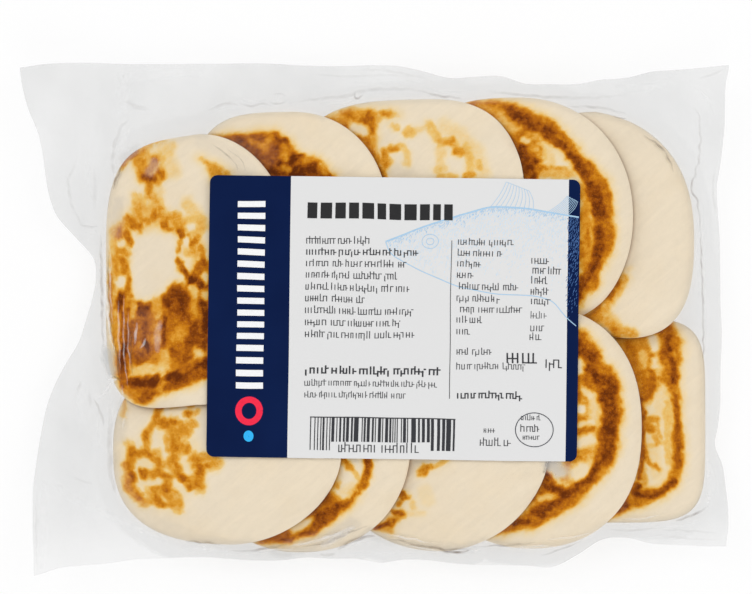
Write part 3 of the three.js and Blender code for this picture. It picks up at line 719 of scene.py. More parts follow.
        (1.5, .86, .6, -72.9, 4.2, -71.7), (.7, .7, -1.4, -73.1, 2, -73.1),
        (1.7, .62, 3, -72.2, 6, -72.6, 6.6, -71), (1.1, .42, 2, -74.3, 6, -74.6),
        (2.3, .6, 17.3, -51.8, 16.4, -53.4), (1.5, .46, 18.4, -51.4, 19.4, -51.2),
        (1.4, .34, 21, -51, 24.6, -49.3), (2, .24, 13.3, -64, 13.3, -65.6), (4, .1, 17, -60, 18, -63),
        (1.4, .14, 10, -67.6, 17, -67.8),
    ],
    "lower4": [
        (0, .70, 63, -2, 70.4, -3.9, 73.1, -4.9, 75.5, -7.9, 77, -10.8, 78.5, -14.3, 81, -16.7,
         83.4, -19.7, 84.6, -23.6, 84.7, -27.1, 85.4, -31.5, 85.1, -34.5, 84.4, -37.4, 84.4, -41.4,
         83.4, -45.3, 81.5, -48.8, 79.5, -53.2, 76.5, -57.3, 73.6, -59.8, 71.1, -63.2, 67.7, -65.8,
         64, -67.8, 60.1, -70.7, 55.2, -73.1, 49.2, -74.1, 44.3, -75.3, 41.4, -75.7, 38.4, -76, 33.5, -79,
         33.5, -72.9, 45.3, -63, 51.2, -55.2, 57.1, -53.2, 59.1, -52.6, 61.1, -54.2, 63, -56.6, 66, -57.6,
         69.4, -56.6, 72.4, -54.2, 74.4, -51.2, 75.4, -47.3, 75.8, -42.4, 77.1, -37.4, 77.6, -31.5,
         76.8, -27.6, 74.4, -24.6, 71.9, -23.6, 69, -21.7, 63, -19.7),
        (3.6, .84, 69.9, -8.9, 71.9, -11.8, 74.9, -13.8), (2.6, .84, 73.4, -16.7, 75.8, -19.2),
        (4, .84, 76.8, -21.2, 80.8, -21.7, 82.1, -24.6),
        (5.7, .84, 79.2, -26.6, 80.8, -30.5, 81.8, -33.5, 80.8, -37.4),
        (5.7, .84, 80.2, -39.4, 80.8, -43.3, 80.2, -47.3),
        (2.6, .84, 77.8, -50.2, 75.8, -53.2, 72.9, -56.1, 69.9, -57.6),
        (3.2, .84, 65, -59.6, 61.1, -59.6, 59.1, -56.1, 58.6, -54.7), (2.6, .84, 69, -59.1, 65, -61.6),
        (3, .84, 63, -63.5, 59.1, -65.5, 55.7, -67, 58.1, -68),
        (2.1, .84, 53.2, -70.4, 48.3, -71.4, 46.3, -70.4, 42.4, -73.4),
        (8, .44, 71.9, -26.6, 71.9, -35.5, 70.9, -45.3, 68, -52.2), (2.4, .64, 69.5, -22.3, 69.7, -27.6),
        (1.3, .5, 69.9, -29.2, 73.1, -29.4, 73.9, -32.1, 71.9, -34.1, 69, -33.1),
        (1.5, .52, 68.6, -35.5, 73.9, -34.1), (2.3, .62, 69, -39.6, 70.9, -38.4, 74.9, -38),
        (1.4, .46, 69, -45.9, 73.5, -45.9), (1.2, .42, 74.5, -43.3, 74.7, -47.3),
        (1.4, .54, 66.6, -50.2, 68, -49.7, 70.5, -47.9), (2, .42, 65, -55.2, 68, -56.6),
        (1.2, .5, 70.9, -24.6, 72.3, -26.6), (2.6, -.9, 69.9, -15.8, 69.9, -18.1),
        (2, -.65, 50.6, -67.2, 51.8, -66), (2, -.55, 57.1, -62.3, 61.1, -61.7),
        (2.2, -.95, 71.1, -31.7, 71.4, -31.5), (1.8, -.5, 74.5, -27, 74.9, -30.5, 74.5, -35.1),
        (1.2, -.6, 70.9, -36.6, 74.9, -36.1), (3, -.8, 70.3, -43.1, 73.9, -41.8),
        (3.4, -.8, 71.5, -51.6, 69.3, -54), (1.6, -.6, 72.9, -25.6, 73.9, -26),
        (2, -.7, 65, -53.6, 62.1, -52.2), (1.4, -.35, 52.2, -63.6, 54.2, -64.4),
    ],
    "lower5": [
        (0, .66, 96.4, -2.6, 101, -.2, 103.6, -1.3, 105.7, -5, 107.2, -9, 107, -14, 106.2, -19, 106.5, -25,
         106.7, -32, 107.2, -38, 107.7, -44, 107.7, -50, 106.7, -55, 104.7, -59.2, 101.7, -61.8, 97, -64.3,
         92, -66.3, 87, -67.8, 82, -70.3, 78, -73.3, 73, -76.6, 72, -72, 84, -60, 91.4, -56.4, 93, -58.5,
         97, -59.5, 100, -58.5, 102, -56, 103.3, -52, 103.5, -45, 103.5, -38, 103.3, -31, 103, -27,
         101.5, -24.4, 99.5, -23.4, 98.4, -20, 99.6, -16, 99.4, -10, 98.6, -6),
        (0, .52, 84, -4, 90, -5, 95, -3.6, 99, -4, 100.6, -10, 100, -18, 99.5, -23.4, 98, -25.6, 95.6, -28,
         94.6, -30, 93.6, -34, 88, -34, 84, -20),
        (2.2, .84, 102, -6, 102.5, -12, 104, -16, 104, -22), (1.8, .74, 101, -2.6, 103, -4),
        (1.8, .86, 97.6, -3.4, 99, -5.4), (1.8, .68, 105, -28, 105, -36, 105.5, -44, 105.5, -52),
        (2.1, .86, 104, -57, 101, -60, 96, -62, 91.5, -62), (2, .86, 90.4, -61, 91.6, -58.8),
        (1.7, .86, 88, -65, 84, -67, 80, -70, 76, -74), (4.4, .62, 89, -10, 92, -18, 94, -24, 94, -28),
        (1.4, .64, 95.6, -11.6, 97, -13.6), (2.4, .7, 97, -19, 96.5, -24, 95.5, -27),
        (1.4, .6, 95.4, -15, 96, -18), (1.6, .7, 100.6, -10, 100.4, -16),
        (2.4, -.9, 97, -7.4, 97.4, -10.6), (2, -.75, 97.5, -14.6, 97.3, -16.4),
        (2.4, -.4, 93, -13, 93.6, -16), (1.4, -.3, 103.6, -13, 104, -13.4), (1.6, -.4, 99.6, -17, 99, -19),
        (1.3, .8, 92.5, -28, 92.7, -36, 93.5, -42, 93, -50, 92, -56), (2.8, .6, 94.6, -37.2, 96, -38.6),
        (1.8, .5, 94, -35.4, 98.4, -35), (1, .42, 98.4, -36.6, 98.2, -40.4, 99.4, -41.6),
        (1, .4, 98.2, -44, 97, -41), (1.1, .5, 95, -50, 98.2, -51.8), (1.4, .54, 94, -46.6, 94.2, -48.6),
        (2, .42, 93.4, -53.4, 94, -57.4), (1, .3, 94.6, -44.6, 101, -43.6),
        (5, .16, 100, -27, 97, -46, 98, -54), (2, .3, 101.8, -30, 102.2, -50),
        (1, .5, 97.4, -51, 98.6, -52),
    ],
}

# how the marks spread over a cake, in millimetres
marking = {
    # height, wavelength and seed of the ripples that bend the marks each way
    "wanderX": [(0.5, 6.5, 11), (0.3, 2.4, 12)], "wanderY": [(0.5, 6.5, 13), (0.3, 2.4, 14)],
    "core": 0.1, "fall": (0.44, 0.5), "edge": (-0.6, 0.8), "deepEdge": (-1.6, -0.2), "deepShare": 0.2,
    "halo": 0.26, "haloReach": 2, "haloMost": 0.8, "haloJoin": 0.55, "hottest": 1.1,
    # the underside: a ring at this depth from the outline, and a golden middle
    "ringDepth": 10, "ringWidth": 4.5, "ringHeat": 0.85, "ringWander": (2, 26, 31),
    "middleHeat": 0.42, "middleDepth": (8, 16), "middleBase": 0.6, "middleWander": (0.6, 19, 32),
}


def insideOutline(x, y, line):
    corners = np.reshape(line, (-1, 2))
    inside = np.zeros(x.shape, dtype=bool)
    for (ax, ay), (bx, by) in zip(corners, np.roll(corners, -1, axis=0)):
        if ay != by:
            inside ^= ((ay > y) != (by > y)) & (x < ax + (bx - ax) * (y - ay) / (by - ay))
    return inside


# a streak's mask is exp(-((distance - core) / fall)^3), an area's is two smooth steps over its edge; the
# marks join as heat = (sum of (amount * mask)^4)^(1/4) over a wide faint halo; the underside has a ring and
# a middle
def brownField(name, x, y, inside, isTop):
    wanderX, wanderY = x + rippled(x, y, marking["wanderX"]), y + rippled(x, y, marking["wanderY"])
    fall, extra = marking["fall"]
    deep = marking["deepShare"]
    heat, halo, islands = np.zeros_like(x), np.zeros_like(x), np.ones_like(x)
    for width, amount, *line in browning[name]:
        if width:
            away = distanceToLine(wanderX, wanderY, line)
            mask = np.exp(-(np.maximum(0, away - marking["core"] * width) / (fall * width + extra)) ** 3)
        else:
            away = distanceToLine(wanderX, wanderY, line + line[:2])
            away = np.where(insideOutline(wanderX, wanderY, line), -away, away)
            mask = (1 - (1 - deep) * smoothStep(away, *marking["edge"])
                    - deep * smoothStep(away, *marking["deepEdge"]))
        if amount > 0:
            reach = np.exp(-(np.maximum(0, away) / marking["haloReach"]) ** 2)
            heat = heat + (amount * mask) ** 4
            halo = halo + (min(amount, marking["haloMost"]) * reach) ** 4
        else:
            islands = islands * (1 + amount * mask)
    heat, halo = heat ** 0.25, marking["halo"] * halo ** 0.25
    heat = np.minimum(np.maximum(heat, halo + marking["haloJoin"] * heat), marking["hottest"]) * islands
    depth = inside - marking["ringDepth"] - rippled(x, y, [marking["ringWander"]])
    ring = marking["ringHeat"] * np.exp(-(depth / marking["ringWidth"]) ** 2)
    middle = marking["middleHeat"] * smoothStep(inside, *marking["middleDepth"])
    middle = middle * (marking["middleBase"] + rippled(x, y, [marking["middleWander"]]))
    return np.where(isTop, heat, np.maximum(ring, middle))


# how many rows and columns of points, and the shares of the radius where the rows start and end
cakeRows = {"around": 300, "rim": 18, "top": 62, "underside": 14, "first": 0.06, "last": 0.03}


# rows run from the middle of the underside over the rounded rim to the middle of the top: at angle a
# and radius r the height is bed + thickness / 2 * (1 + sin(rim angle)), squeezed and held under the film
def cakeSurface(name):
    cake, rimRadius = cakes[name], cakeMake["rimRadius"]
    angle = np.linspace(0, 2 * math.pi, cakeRows["around"], endpoint=False)
    c, s = np.cos(angle), np.sin(angle)
    side = np.where(c < 0, cake["left"], cake["right"])
    power = np.where(c < 0, cake["squareLeft"], cake["squareRight"])
    outline = (np.abs(c / side) ** power + np.abs(s / cake["half"]) ** power) ** (-1 / power)
    under = np.linspace(cakeRows["first"], 1, cakeRows["underside"], endpoint=False)
    over = np.linspace(1, cakeRows["last"], cakeRows["top"])
    quarter = math.pi / 2
    turn = np.linspace(-quarter, quarter, cakeRows["rim"], endpoint=False)
    share = np.concatenate([under, np.ones(len(turn)), over])[:, None]
    lean = np.concatenate([np.full(len(under), -quarter), turn, np.full(len(over), quarter)])[:, None]
    radius = share * (outline - rimRadius) + rimRadius * np.where(share < 1, 0, np.cos(lean))
    # the last two rows are the poles, at no radius
    radius = np.concatenate([radius, np.zeros((2, len(angle)))])
    lean = np.concatenate([lean, [[-quarter], [quarter]]])
    x, y = cake["x"] + radius * c, cake["y"] + radius * s - sunk(cake, radius * c)
    half = thicknessAt(radius / outline) / 2
    rim = np.full_like(x, bag["rimLevel"])
    ceiling = topHeight(x, y, rim) - bag["filmGap"]
    z = squeezed(bedLevel(cake, x, y) + half * (1 + np.sin(lean)))
    z = z * np.minimum(1, ceiling / (drapedTop(x, y, rim) - bag["filmGap"]))
    z = np.maximum(z, bag["baseGap"])
    isTop = np.broadcast_to(lean > 0, x.shape)
    relief = cakeMake["reliefDepth"] + rippled(x, y, cakeMake["relief"])
    z = np.minimum(np.where(isTop, z - relief * np.sin(lean), z), ceiling - cakeMake["skin"])
    brown = brownField(name, x, y, outline - radius, isTop)
    # how near a point is to the outline of a cake that lies on this one, for the painted shade line along it
    beside = np.full_like(x, np.inf)
    for upper in cakes.values():
        if name in upper["under"]:
            beside = np.minimum(beside, np.maximum(0, -placeInCake(upper, x, y)[1]))
    contactShade = np.exp(-(beside / cakeMake["contactShadeWidth"]) ** 2) * isTop
    points = np.stack([x, y, z], axis=-1)
    fields = {key: np.concatenate([field[:-2].ravel(), field[-2:, 0]])
              for key, field in (("brown", brown), ("contactShade", contactShade))}
    return points[:-2], [points[-2, 0], points[-1, 0]], fields


friedSurface = cakeMaterial()
for name in cakes:
    points, poles, fields = cakeSurface(name)
    piece = gridMesh("cake_" + name, points, friedSurface, wrap=True, poles=poles, fields=fields)
    place(piece, "fish_cake", "bag")
print("cakes made")

# the film

film = {
    "columns": 360, "rows": 260, "undersideColumns": 150, "undersideRows": 110, "edgeStart": 0.97,
    "sealHaze": 0.175, "lowSealHaze": 0.07, "voidHaze": 0.19, "cakeHaze": 0.001,
    # where the haze, the gap's own haze and the free ripples change over, in millimetres outside the
    # cakes, and where the wrinkles start outside the label
    "hazeEnds": (-3, 1), "gapEnds": (6, 6.8), "freeEnds": (-4, 4), "looseEnds": (1, 5),
    # the clearer lower seal: below these levels, which drop with the distance from the middle
    "lowEnds": (52, 74), "lowSlope": 0.12, "veilCore": 0.3,
    # height or share, wavelength, seed
    "freeWaves": [(0.3, 21, 53), (0.12, 6.5, 54)], "clingWaves": [(0.05, 7, 55)],
    "voidWander": [(1.2, 30, 61)], "sealDrift": [(0.22, 48, 64), (0.1, 14, 65)],
    "veilWanderX": [(0.6, 5, 62)], "veilWanderY": [(0.6, 5, 63)],
    # the folds: the height and spread of their ridges in the film, and the strips of painted highlight and
    # painted shade laid along them
    "foldStep": 0.6, "freeFade": 0.55, "foldRounds": 3, "foldLift": 0.06, "foldAcross": 5,
    "foldHeight": 0.5, "foldSpread": (0.6, 0.5), "foldRoughness": 0.6, "foldTaper": 0.35,
    "foldFreeEnds": (0, 4), "foldWander": 0.25, "wanderSize": 5, "streak": 0.35, "streakSize": 4,
    "glancing": 0.6, "straightOn": 0.0015, "colour": (205, 206, 206), "clear": (0.985, 0.985, 0.985),
    "roughness": 0.13, "grainScale": 420, "grain": 0.12, "grainHeight": 0.0004,
    # the colours of the painted highlight lines and the painted shade lines on the folds
    "sheenColour": (246, 246, 246), "shadeColour": (118, 100, 86),
    # rounds of correction in sheetPlace
    "corrections": 8,
}

# folds of the film: (width, sheen, x1, y1, x2, y2, ...), each a low ridge with a painted line along it,
# where a positive sheen is a painted highlight and a negative one is painted shade
folds = [
    # the left side
    (0.7, -0.2, -104, 56, -106, 51, -107.5, 48, -107, 44, -106.5, 40, -105, 37, -103, 33, -101, 31),
    (0.5, -0.3, -103.4, 32.4, -100, 32, -97, 32), (1.2, 0.3, -102, 31, -97, 29.5),
    (1.4, 0.25, -100.5, 55, -100, 47, -99, 42), (1, -0.16, -98.4, 52, -98, 44, -98.5, 38),
    (1.5, 0.4, -90, 86, -88.4, 83, -86, 86), (1.2, 0.35, -91, 78, -88.6, 80, -87, 83),
    (1.2, 0.4, -89.4, 74, -87, 77, -86, 80), (1, -0.25, -87.4, 76, -84, 74, -79, 73),
    (1.2, 0.35, -90, 71.6, -86, 74), (0.9, -0.3, -86, 69.4, -89, 66.6, -91, 61, -92, 55, -91.4, 50),
    (1.1, 0.4, -84.8, 66, -88, 63, -90, 58, -90.6, 54), (0.6, -0.75, -88.5, 53.4, -90, 49.4, -91.6, 45),
    (0.7, -0.4, -96, 29, -95.8, 20, -95.6, 8, -95.4, -2, -95.2, -10),
    (0.6, 0.8, -94.2, 27, -94.5, 18, -94, 8, -93.5, 0, -92, -7.6, -90.4, -13.4),
    (0.5, 0.5, -93.6, 12, -92.8, -2, -91.4, -9), (0.5, 0.4, -92.2, 24, -92.6, 10, -91.6, -2),
    (0.5, 0.35, -89.6, 6, -89.4, -8, -88.6, -18), (0.45, -0.5, -93.2, 22, -93.2, 8, -92.2, -5, -90.2, -14),
    (0.5, -0.6, -90.6, -9, -89.6, -15, -89.2, -21), (0.4, 0.35, -87.5, 8, -87.6, -6, -87, -16, -85.6, -24),
    (0.4, 0.3, -86, 2, -85.8, -10, -84.8, -18), (0.4, -0.4, -85.2, -2, -84.8, -14, -84, -20),
    (0.7, 0.55, -83, -1.6, -83.4, -6, -83.6, -9), (0.6, 0.4, -79.4, -7, -80.2, -9, -81.6, -10.6),
    (1.6, 0.3, -74.4, -0.6, -75.6, -6, -75.2, -12), (0.5, -0.4, -79, -8, -80.4, -10.4),
    (0.6, 0.8, -94, -21.4, -92, -21.2, -89.8, -21.4),
    (0.7, 0.85, -90.6, -21.6, -92.4, -22.6, -93.4, -24.4, -94.4, -26.6, -97, -28.4),
    (0.5, -0.6, -91.4, -20.4, -89.6, -20.8, -88.4, -22),
    (0.6, -0.5, -98, -28, -97, -31, -95.6, -34, -95.2, -38), (0.8, -0.2, -103, -22, -104, -26.4),
    (2.2, 0.35, -102.6, -22, -102.5, -28, -101.6, -36), (0.8, -0.2, -100, -26, -99.6, -30.6),
    (0.8, 0.3, -96.8, -33, -97, -40, -96.4, -46), (0.6, -0.2, -105, -56, -101.4, -57.4, -99, -58),
    (1.8, 0.35, -115.4, -57, -115.8, -70, -115.8, -87), (0.5, -0.2, -118, -60, -117.8, -74, -117.2, -87),
    (1.5, 0.45, -100, -65.4, -95, -68, -88, -71.6, -84, -73.4, -78, -76, -73, -78),
    (1.2, 0.2, -112, -58, -106, -63, -100, -65.6),
    (1.2, -0.2, -92.6, -30, -92.8, -42, -92.6, -55, -90.4, -62),
    (0.5, 0.3, -91.6, -28, -92, -40, -91.8, -52), (0.5, 0.4, -88, -23, -87.4, -27, -88.8, -31),
    (0.5, 0.3, -87.2, -34, -88, -39),
    # the top
    (2, 0.3, -88, 84, -74, 85.6, -60, 86), (0.7, -0.35, -58, 73, -55, 74, -52, 75.2, -48, 74.6),
    (0.7, 0.4, -57, 72.2, -52, 74.2, -47, 73.8), (0.6, -0.3, -48, 74.8, -43, 74, -40, 75, -36, 74.4),
    (0.6, 0.4, -47, 76, -42, 75.4, -38, 76.2), (2.2, 0.35, -35, 77, -33, 76.6),
    (0.5, -0.35, -37, 75.6, -35.4, 74.6, -32, 74.8, -30.6, 76.6),
    (0.5, -0.25, -36, 78.2, -33, 78.8, -31, 77.6),
    (0.8, -0.3, -30, 75, -24, 76.2, -18, 76.8, -10, 77.4, -6, 79, 0, 80, 10, 80, 16, 79.4, 20, 78.2),
    (0.7, 0.4, -20, 75.4, -14, 75, -9, 75.6, -6, 77.6, -3, 79),
    (0.5, -0.5, -7, 79, -7.4, 76.8, -5.4, 76.4, -4, 78), (0.7, -0.3, 17, 79, 22, 77.4, 30, 76.4),
    (0.6, 0.35, 18, 80, 24, 78.6, 31, 79.2), (0.6, -0.16, -22, 85.4, -10, 84.4, 5, 85, 12, 84),
    (0.6, -0.16, -5, 87, 5, 86.4, 15, 84.4, 20, 82.6), (0.8, 0.25, -8, 82.4, 2, 82, 12, 82.6, 18, 81.4),
    (0.7, -0.25, 40, 79.4, 50, 78, 62, 77, 75, 76.8, 88, 78),
    (0.6, -0.2, 66, 73.4, 74, 74, 80, 73.4, 88, 71.4), (1.6, 0.35, 84, 80.8, 90, 80, 97, 80.6, 104, 83.6),
    # the right side
    (0.55, -0.5, 111.6, 73.4, 113, 71, 113.5, 65, 113.7, 60, 113, 54, 112, 50, 111, 48, 110.6, 46.4,
     111, 44, 112.4, 42, 113.4, 38, 114, 30),
    (0.5, -0.6, 114, 31, 114.3, 20, 114.6, 10, 114.7, 0, 114.8, -8, 114.8, -16),
    (0.5, 0.35, 114.8, 40, 115, 25, 115.4, 5, 115.4, -12), (0.8, 0.2, 112.6, 36, 113, 20, 113.2, 6),
    (0.5, -0.5, 94, 64, 97, 62, 100, 59.4, 102, 57, 103.5, 54, 104, 51),
    (0.5, 0.3, 95, 65, 98, 63, 101.4, 60, 104, 56), (0.4, -0.35, 83, 70.6, 88, 69.4),
    (0.6, -0.2, 113, 83, 117, 84.8, 121, 86), (0.5, 0.3, 112, 80, 116, 77, 118, 71),
    (0.5, -0.16, 119.6, 55, 118, 48, 118.4, 42, 119.4, 36), (2, 0.4, 116.4, -50, 117.6, -56, 118.4, -62),
    (0.6, 0.7, 116.2, -60, 116.8, -63.4, 116.4, -66.4),
    (0.6, -0.5, 116.2, -66, 113, -68, 110, -69.4, 105, -71), (0.5, -0.2, 100, -74, 110, -74.4, 119, -75),
    (0.5, 0.35, 98, -72.8, 106, -73, 114, -70.6), (0.5, -0.16, 96, -76, 108, -77, 119, -77.4),
    (0.6, 0.3, 84, -72.4, 92, -72.6, 99, -71), (0.5, -0.25, 82, -74, 90, -74.4, 98, -73.6),
    (0.5, 0.3, 86, -70.4, 94, -70.2, 100, -68.6),
    # the bottom
    (0.4, -0.3, -56.6, 60.3, -51.9, 57.2, -47.9, 53.3, -47.3, 51),
    (0.3, -0.2, -51, 58.4, -46, 54.6, -44.6, 51), (0.5, -0.4, -66, -78.2, -60, -78.3, -54, -78.6),
    (1.6, 0.35, -68, -80.6, -58, -80.6, -50, -81.6),
    (0.6, -0.4, -50, -81, -46, -81.4, -41, -81.2, -36, -80, -31, -79.4),
    (0.5, 0.5, -46, -82.2, -36, -81.2, -28, -80.8),
    (0.8, 0.5, -30, -79.4, -24, -78.6, -18, -77, -12, -74.4, -7, -72.4),
    (0.5, -0.4, -25, -79.8, -17, -78.6, -9, -74.4, -3, -72.4),
    (1.8, 0.5, -19, -80, -14, -76.6, -9, -73.6, -7, -72.4),
    (0.7, -0.25, -19.4, -82.8, -16, -83, -13.6, -82.6),
    (0.9, -0.5, -13, -81, -9, -78.2, -5, -76.8, 0, -75.8), (0.6, 0.4, -12, -80.4, -6, -78, 2, -77.2),
    (0.6, -0.5, 5, -77, 15, -79.4, 25, -81, 34, -80.4), (0.5, 0.4, 3, -75.4, 12, -77, 20, -78.4),
    (0.6, -0.8, 23, -81.4, 28, -82, 33, -81.2), (0.6, 0.6, 33, -81, 37, -81.4),
    (0.5, 0.35, 8, -79.4, 18, -80.4, 26, -82.6), (0.7, 0.4, 46, -80.6, 52, -80, 58, -79.4, 64, -80.2),
    (0.5, -0.35, 36, -79.8, 46, -79.6, 56, -78.2), (0.5, 0.3, -10, -82.4, 2, -81.6, 14, -82.2),
    (0.5, 0.3, 60, -77, 70, -76, 76, -74.6), (0.5, -0.25, 58, -83, 66, -80.6, 72, -77.6),
]

# milky patches where the film is pulled over a cake: (width, haze, x1, y1, x2, y2, ...)
veils = [
    (10, 0.04, -80.5, -2, -80, -8), (3, 0.22, -78.4, 51, -76.6, 54),
    (7, 0.03, -47, 60.6, -40, 59.4, -37, 56.6), (4.4, 0.4, 60.5, -51, 65, -52.6),
    (3.4, 0.35, -93.4, -12, -91.8, -19), (3, 0.12, -84, 59, -88, 55), (4, 0.16, -89.6, 40, -90.4, 30),
    (3, 0.14, -88, -30, -88.6, -42), (5, 0.03, 84, 64, 92, 60), (5, 0.09, -60, 61.6, -52, 58, -43, 51.6),
    (4, 0.07, -90, -50, -86, -62, -77, -70, -64, -76.4, -50, -79.4, -40, -80.6),
    (5, 0.15, -34, -81.4, -26, -80, -17, -77, -8, -72), (3.6, 0.1, -2, -75, 8, -77.6, 22, -80, 34, -80),
]


# the folds as low Gaussian ridges, with ripples that are higher where the film stands free
def wrinkleHeight(x, y):
    height = np.zeros_like(x)
    least, growth = film["foldSpread"]
    for width, sheen, *line in folds:
        away = distanceToLine(x, y, line)
        height = height + film["foldHeight"] * sheen * np.exp(-(away / (least + growth * width)) ** 2)
    free = smoothStep(outsideCakes(x, y), *film["freeEnds"])
    return height + free * rippled(x, y, film["freeWaves"]) + (1 - free) * rippled(x, y, film["clingWaves"])


# how milky the film is: the seal, the gap round the cakes, the film on the cakes, and the veils over them
def hazeField(x, y):
    outside = outsideCakes(x, y)
    gap = 1 - smoothStep(outside + rippled(x, y, film["voidWander"]), *film["gapEnds"])
    free = smoothStep(outside, *film["hazeEnds"])
    # the seal is clearer along the lower edge, and its haze drifts over the pack
    low = smoothStep(-y - film["lowSlope"] * np.abs(x), *film["lowEnds"])
    seal = film["sealHaze"] + low * (film["lowSealHaze"] - film["sealHaze"])
    seal = seal * (1 + rippled(x, y, film["sealDrift"]))
    haze = seal + gap * (film["voidHaze"] - seal)
    haze = film["cakeHaze"] + free * (haze - film["cakeHaze"])
    wanderX, wanderY = x + rippled(x, y, film["veilWanderX"]), y + rippled(x, y, film["veilWanderY"])
    for width, amount, *line in veils:
        away = distanceToLine(wanderX, wanderY, line)
        core = film["veilCore"] * width
        haze = haze + amount * np.exp(-(np.maximum(0, away - core) / core) ** 2)
    return haze


# clear where it clings, hazy where it stands free; the mirror share of the light grows at a glancing angle
def filmMaterial():
    material, tree, shader, out = newMaterial("film")
    where = newNode(tree, "ShaderNodeTexCoord").outputs["Object"]
    fine = noiseNode(tree, where, Scale=film["grainScale"], Detail=3, Roughness=0.6)
    normal = bumpNode(tree, fine, film["grain"], film["grainHeight"])
    # gloss = straightOn + glancing * (1 - cos)^5, the same from both sides
    glance = newNode(tree, "ShaderNodeLayerWeight", Blend=0.5, Normal=normal)
    power = mathNode(tree, "POWER", glance.outputs["Facing"], 5.0)
    gloss = mathNode(tree, "ADD", mathNode(tree, "MULTIPLY", power, film["glancing"]), film["straightOn"])
    cover = mathNode(tree, "ADD", attributeNode(tree, "haze"), gloss, clamp=True)
    feedAll(tree, shader, {"Base Color": linear(*film["colour"]), "Roughness": film["roughness"],
                           "Metallic": mathNode(tree, "DIVIDE", gloss, cover, clamp=True), "Normal": normal})
    coverPart(tree, shader, out, cover, film["clear"])
    return material


filmSurface = filmMaterial()


# the top sheet is the draped level plus its wrinkles, level with the rim at its edge
def filmTop(u, v, x, y):
    rim, edge = rimHeight(u, v, x, y), edgeShare(u, v, film["edgeStart"])
    loose = smoothStep(outsideLabel(x, y), *film["looseEnds"]) * (1 - edge)
    return (topHeight(x, y, rim) + loose * wrinkleHeight(x, y)) * (1 - edge) + rim * edge


# the underside sheet follows the cakes' undersides part of the way
def filmUnder(u, v, x, y):
    rim, edge = rimHeight(u, v, x, y), edgeShare(u, v, film["edgeStart"])
    return bottomHeight(x, y, rim) * (1 - edge) + rim * edge


# a sheet of no thickness at the given level; across is 1 when it faces up and -1 when it faces down
def filmSheet(name, columns, rows, level, across):
    u, v = np.meshgrid(np.linspace(0, 1, columns + 1)[::across], np.linspace(0, 1, rows + 1))
    x, y = sheetPoints(u, v)
    points = np.stack([x, y, level(u, v, x, y)], axis=-1)
    place(gridMesh(name, points, filmSurface, fields={"haze": hazeField(x, y)}), "film", "bag")


# where on the sheet a point of the plane is: sheetPoints turned round, by repeated correction
def sheetPlace(x, y):
    u, v = x / bag["length"] + 0.5, y / bag["width"] + 0.5
    for _ in range(film["corrections"]):
        atX, atY = sheetPoints(u, v)
        u, v = np.clip(u + (x - atX) / bag["length"], 0, 1), np.clip(v + (y - atY) / bag["width"], 0, 1)
    return u, v


# a line through the points by arc length, its corners rounded by repeated averaging; its ends stay put
def smoothLine(line, step, rounds):
    corners = np.reshape(line, (-1, 2))
    length = np.concatenate([[0], np.cumsum(np.hypot(*np.diff(corners, axis=0).T))])
    along = np.linspace(0, length[-1], max(4, int(length[-1] / step)))
    x, y = np.interp(along, length, corners[:, 0]), np.interp(along, length, corners[:, 1])
    for _ in range(rounds):
        x[1:-1] = (x[:-2] + 2 * x[1:-1] + x[2:]) / 4
        y[1:-1] = (y[:-2] + 2 * y[1:-1] + y[2:]) / 4
    return x, y, along / length[-1]


# every fold's painted highlight or painted shade is a narrow strip just over the film, a few points across,
# that fades at its sides and ends
def paintedFoldLines(name, colour, sign):
    points, faces, haze, start = [], [], [], 0
    share = np.linspace(-1, 1, film["foldAcross"])[None, :]
    bend, bendSize = film["foldWander"], film["wanderSize"]
    narrow = film["foldTaper"]
    for k, (width, sheen, *line) in enumerate(folds):
        if sheen * sign < 0:
            continue
        x, y, along = smoothLine(line, film["foldStep"], film["foldRounds"])
        x, y = (x + bend * ripples(x, y, bendSize, 200 + k),
                y + bend * ripples(x, y, bendSize, 400 + k))
        turnX, turnY = np.gradient(x)[:, None], np.gradient(y)[:, None]
        size = np.hypot(turnX, turnY)
        taper = np.sin(math.pi * np.clip(along, 0.02, 0.98))[:, None] ** 0.5
        offset = share * width * (narrow + (1 - narrow) * taper)
        u, v = sheetPlace(x[:, None] - turnY / size * offset, y[:, None] + turnX / size * offset)
        x, y = sheetPoints(u, v)
        points.append(np.stack([x, y, filmTop(u, v, x, y) + film["foldLift"]], axis=-1).reshape(-1, 3))
        shown = 1 - film["freeFade"] * smoothStep(outsideCakes(x, y), *film["foldFreeEnds"])
        streaky = 0.75 + film["streak"] * ripples(x, y, film["streakSize"], 300 + k)
        haze.append((abs(sheen) * shown * (1 - share ** 2) * taper * streaky).ravel())
        faces += gridFaces(start + np.arange(x.size).reshape(x.shape))
        start += x.size
    piece = looseMesh(name, np.concatenate(points), faces, paintedLineMaterial(name, colour),
                      {"haze": np.clip(np.concatenate(haze), 0, 1)})
    place(piece, "film", "bag")


# painted highlight or painted shade: a thin coat of one colour, as dense as the haze
def paintedLineMaterial(name, colour):
    material, tree, shader, out = newMaterial(name)
    feedAll(tree, shader, {"Base Color": linear(*colour), "Roughness": film["foldRoughness"],
                           "Specular IOR Level": 0.0})
    coverPart(tree, shader, out, attributeNode(tree, "haze"))
    return material


filmSheet("film_top", film["columns"], film["rows"], filmTop, 1)
filmSheet("film_underside", film["undersideColumns"], film["undersideRows"], filmUnder, -1)
# the folds' painted highlights, then their painted shade lines
paintedFoldLines("film_sheen", film["sheenColour"], 1)
paintedFoldLines("film_shade", film["shadeColour"], -1)
print("film made")

# the label's paper

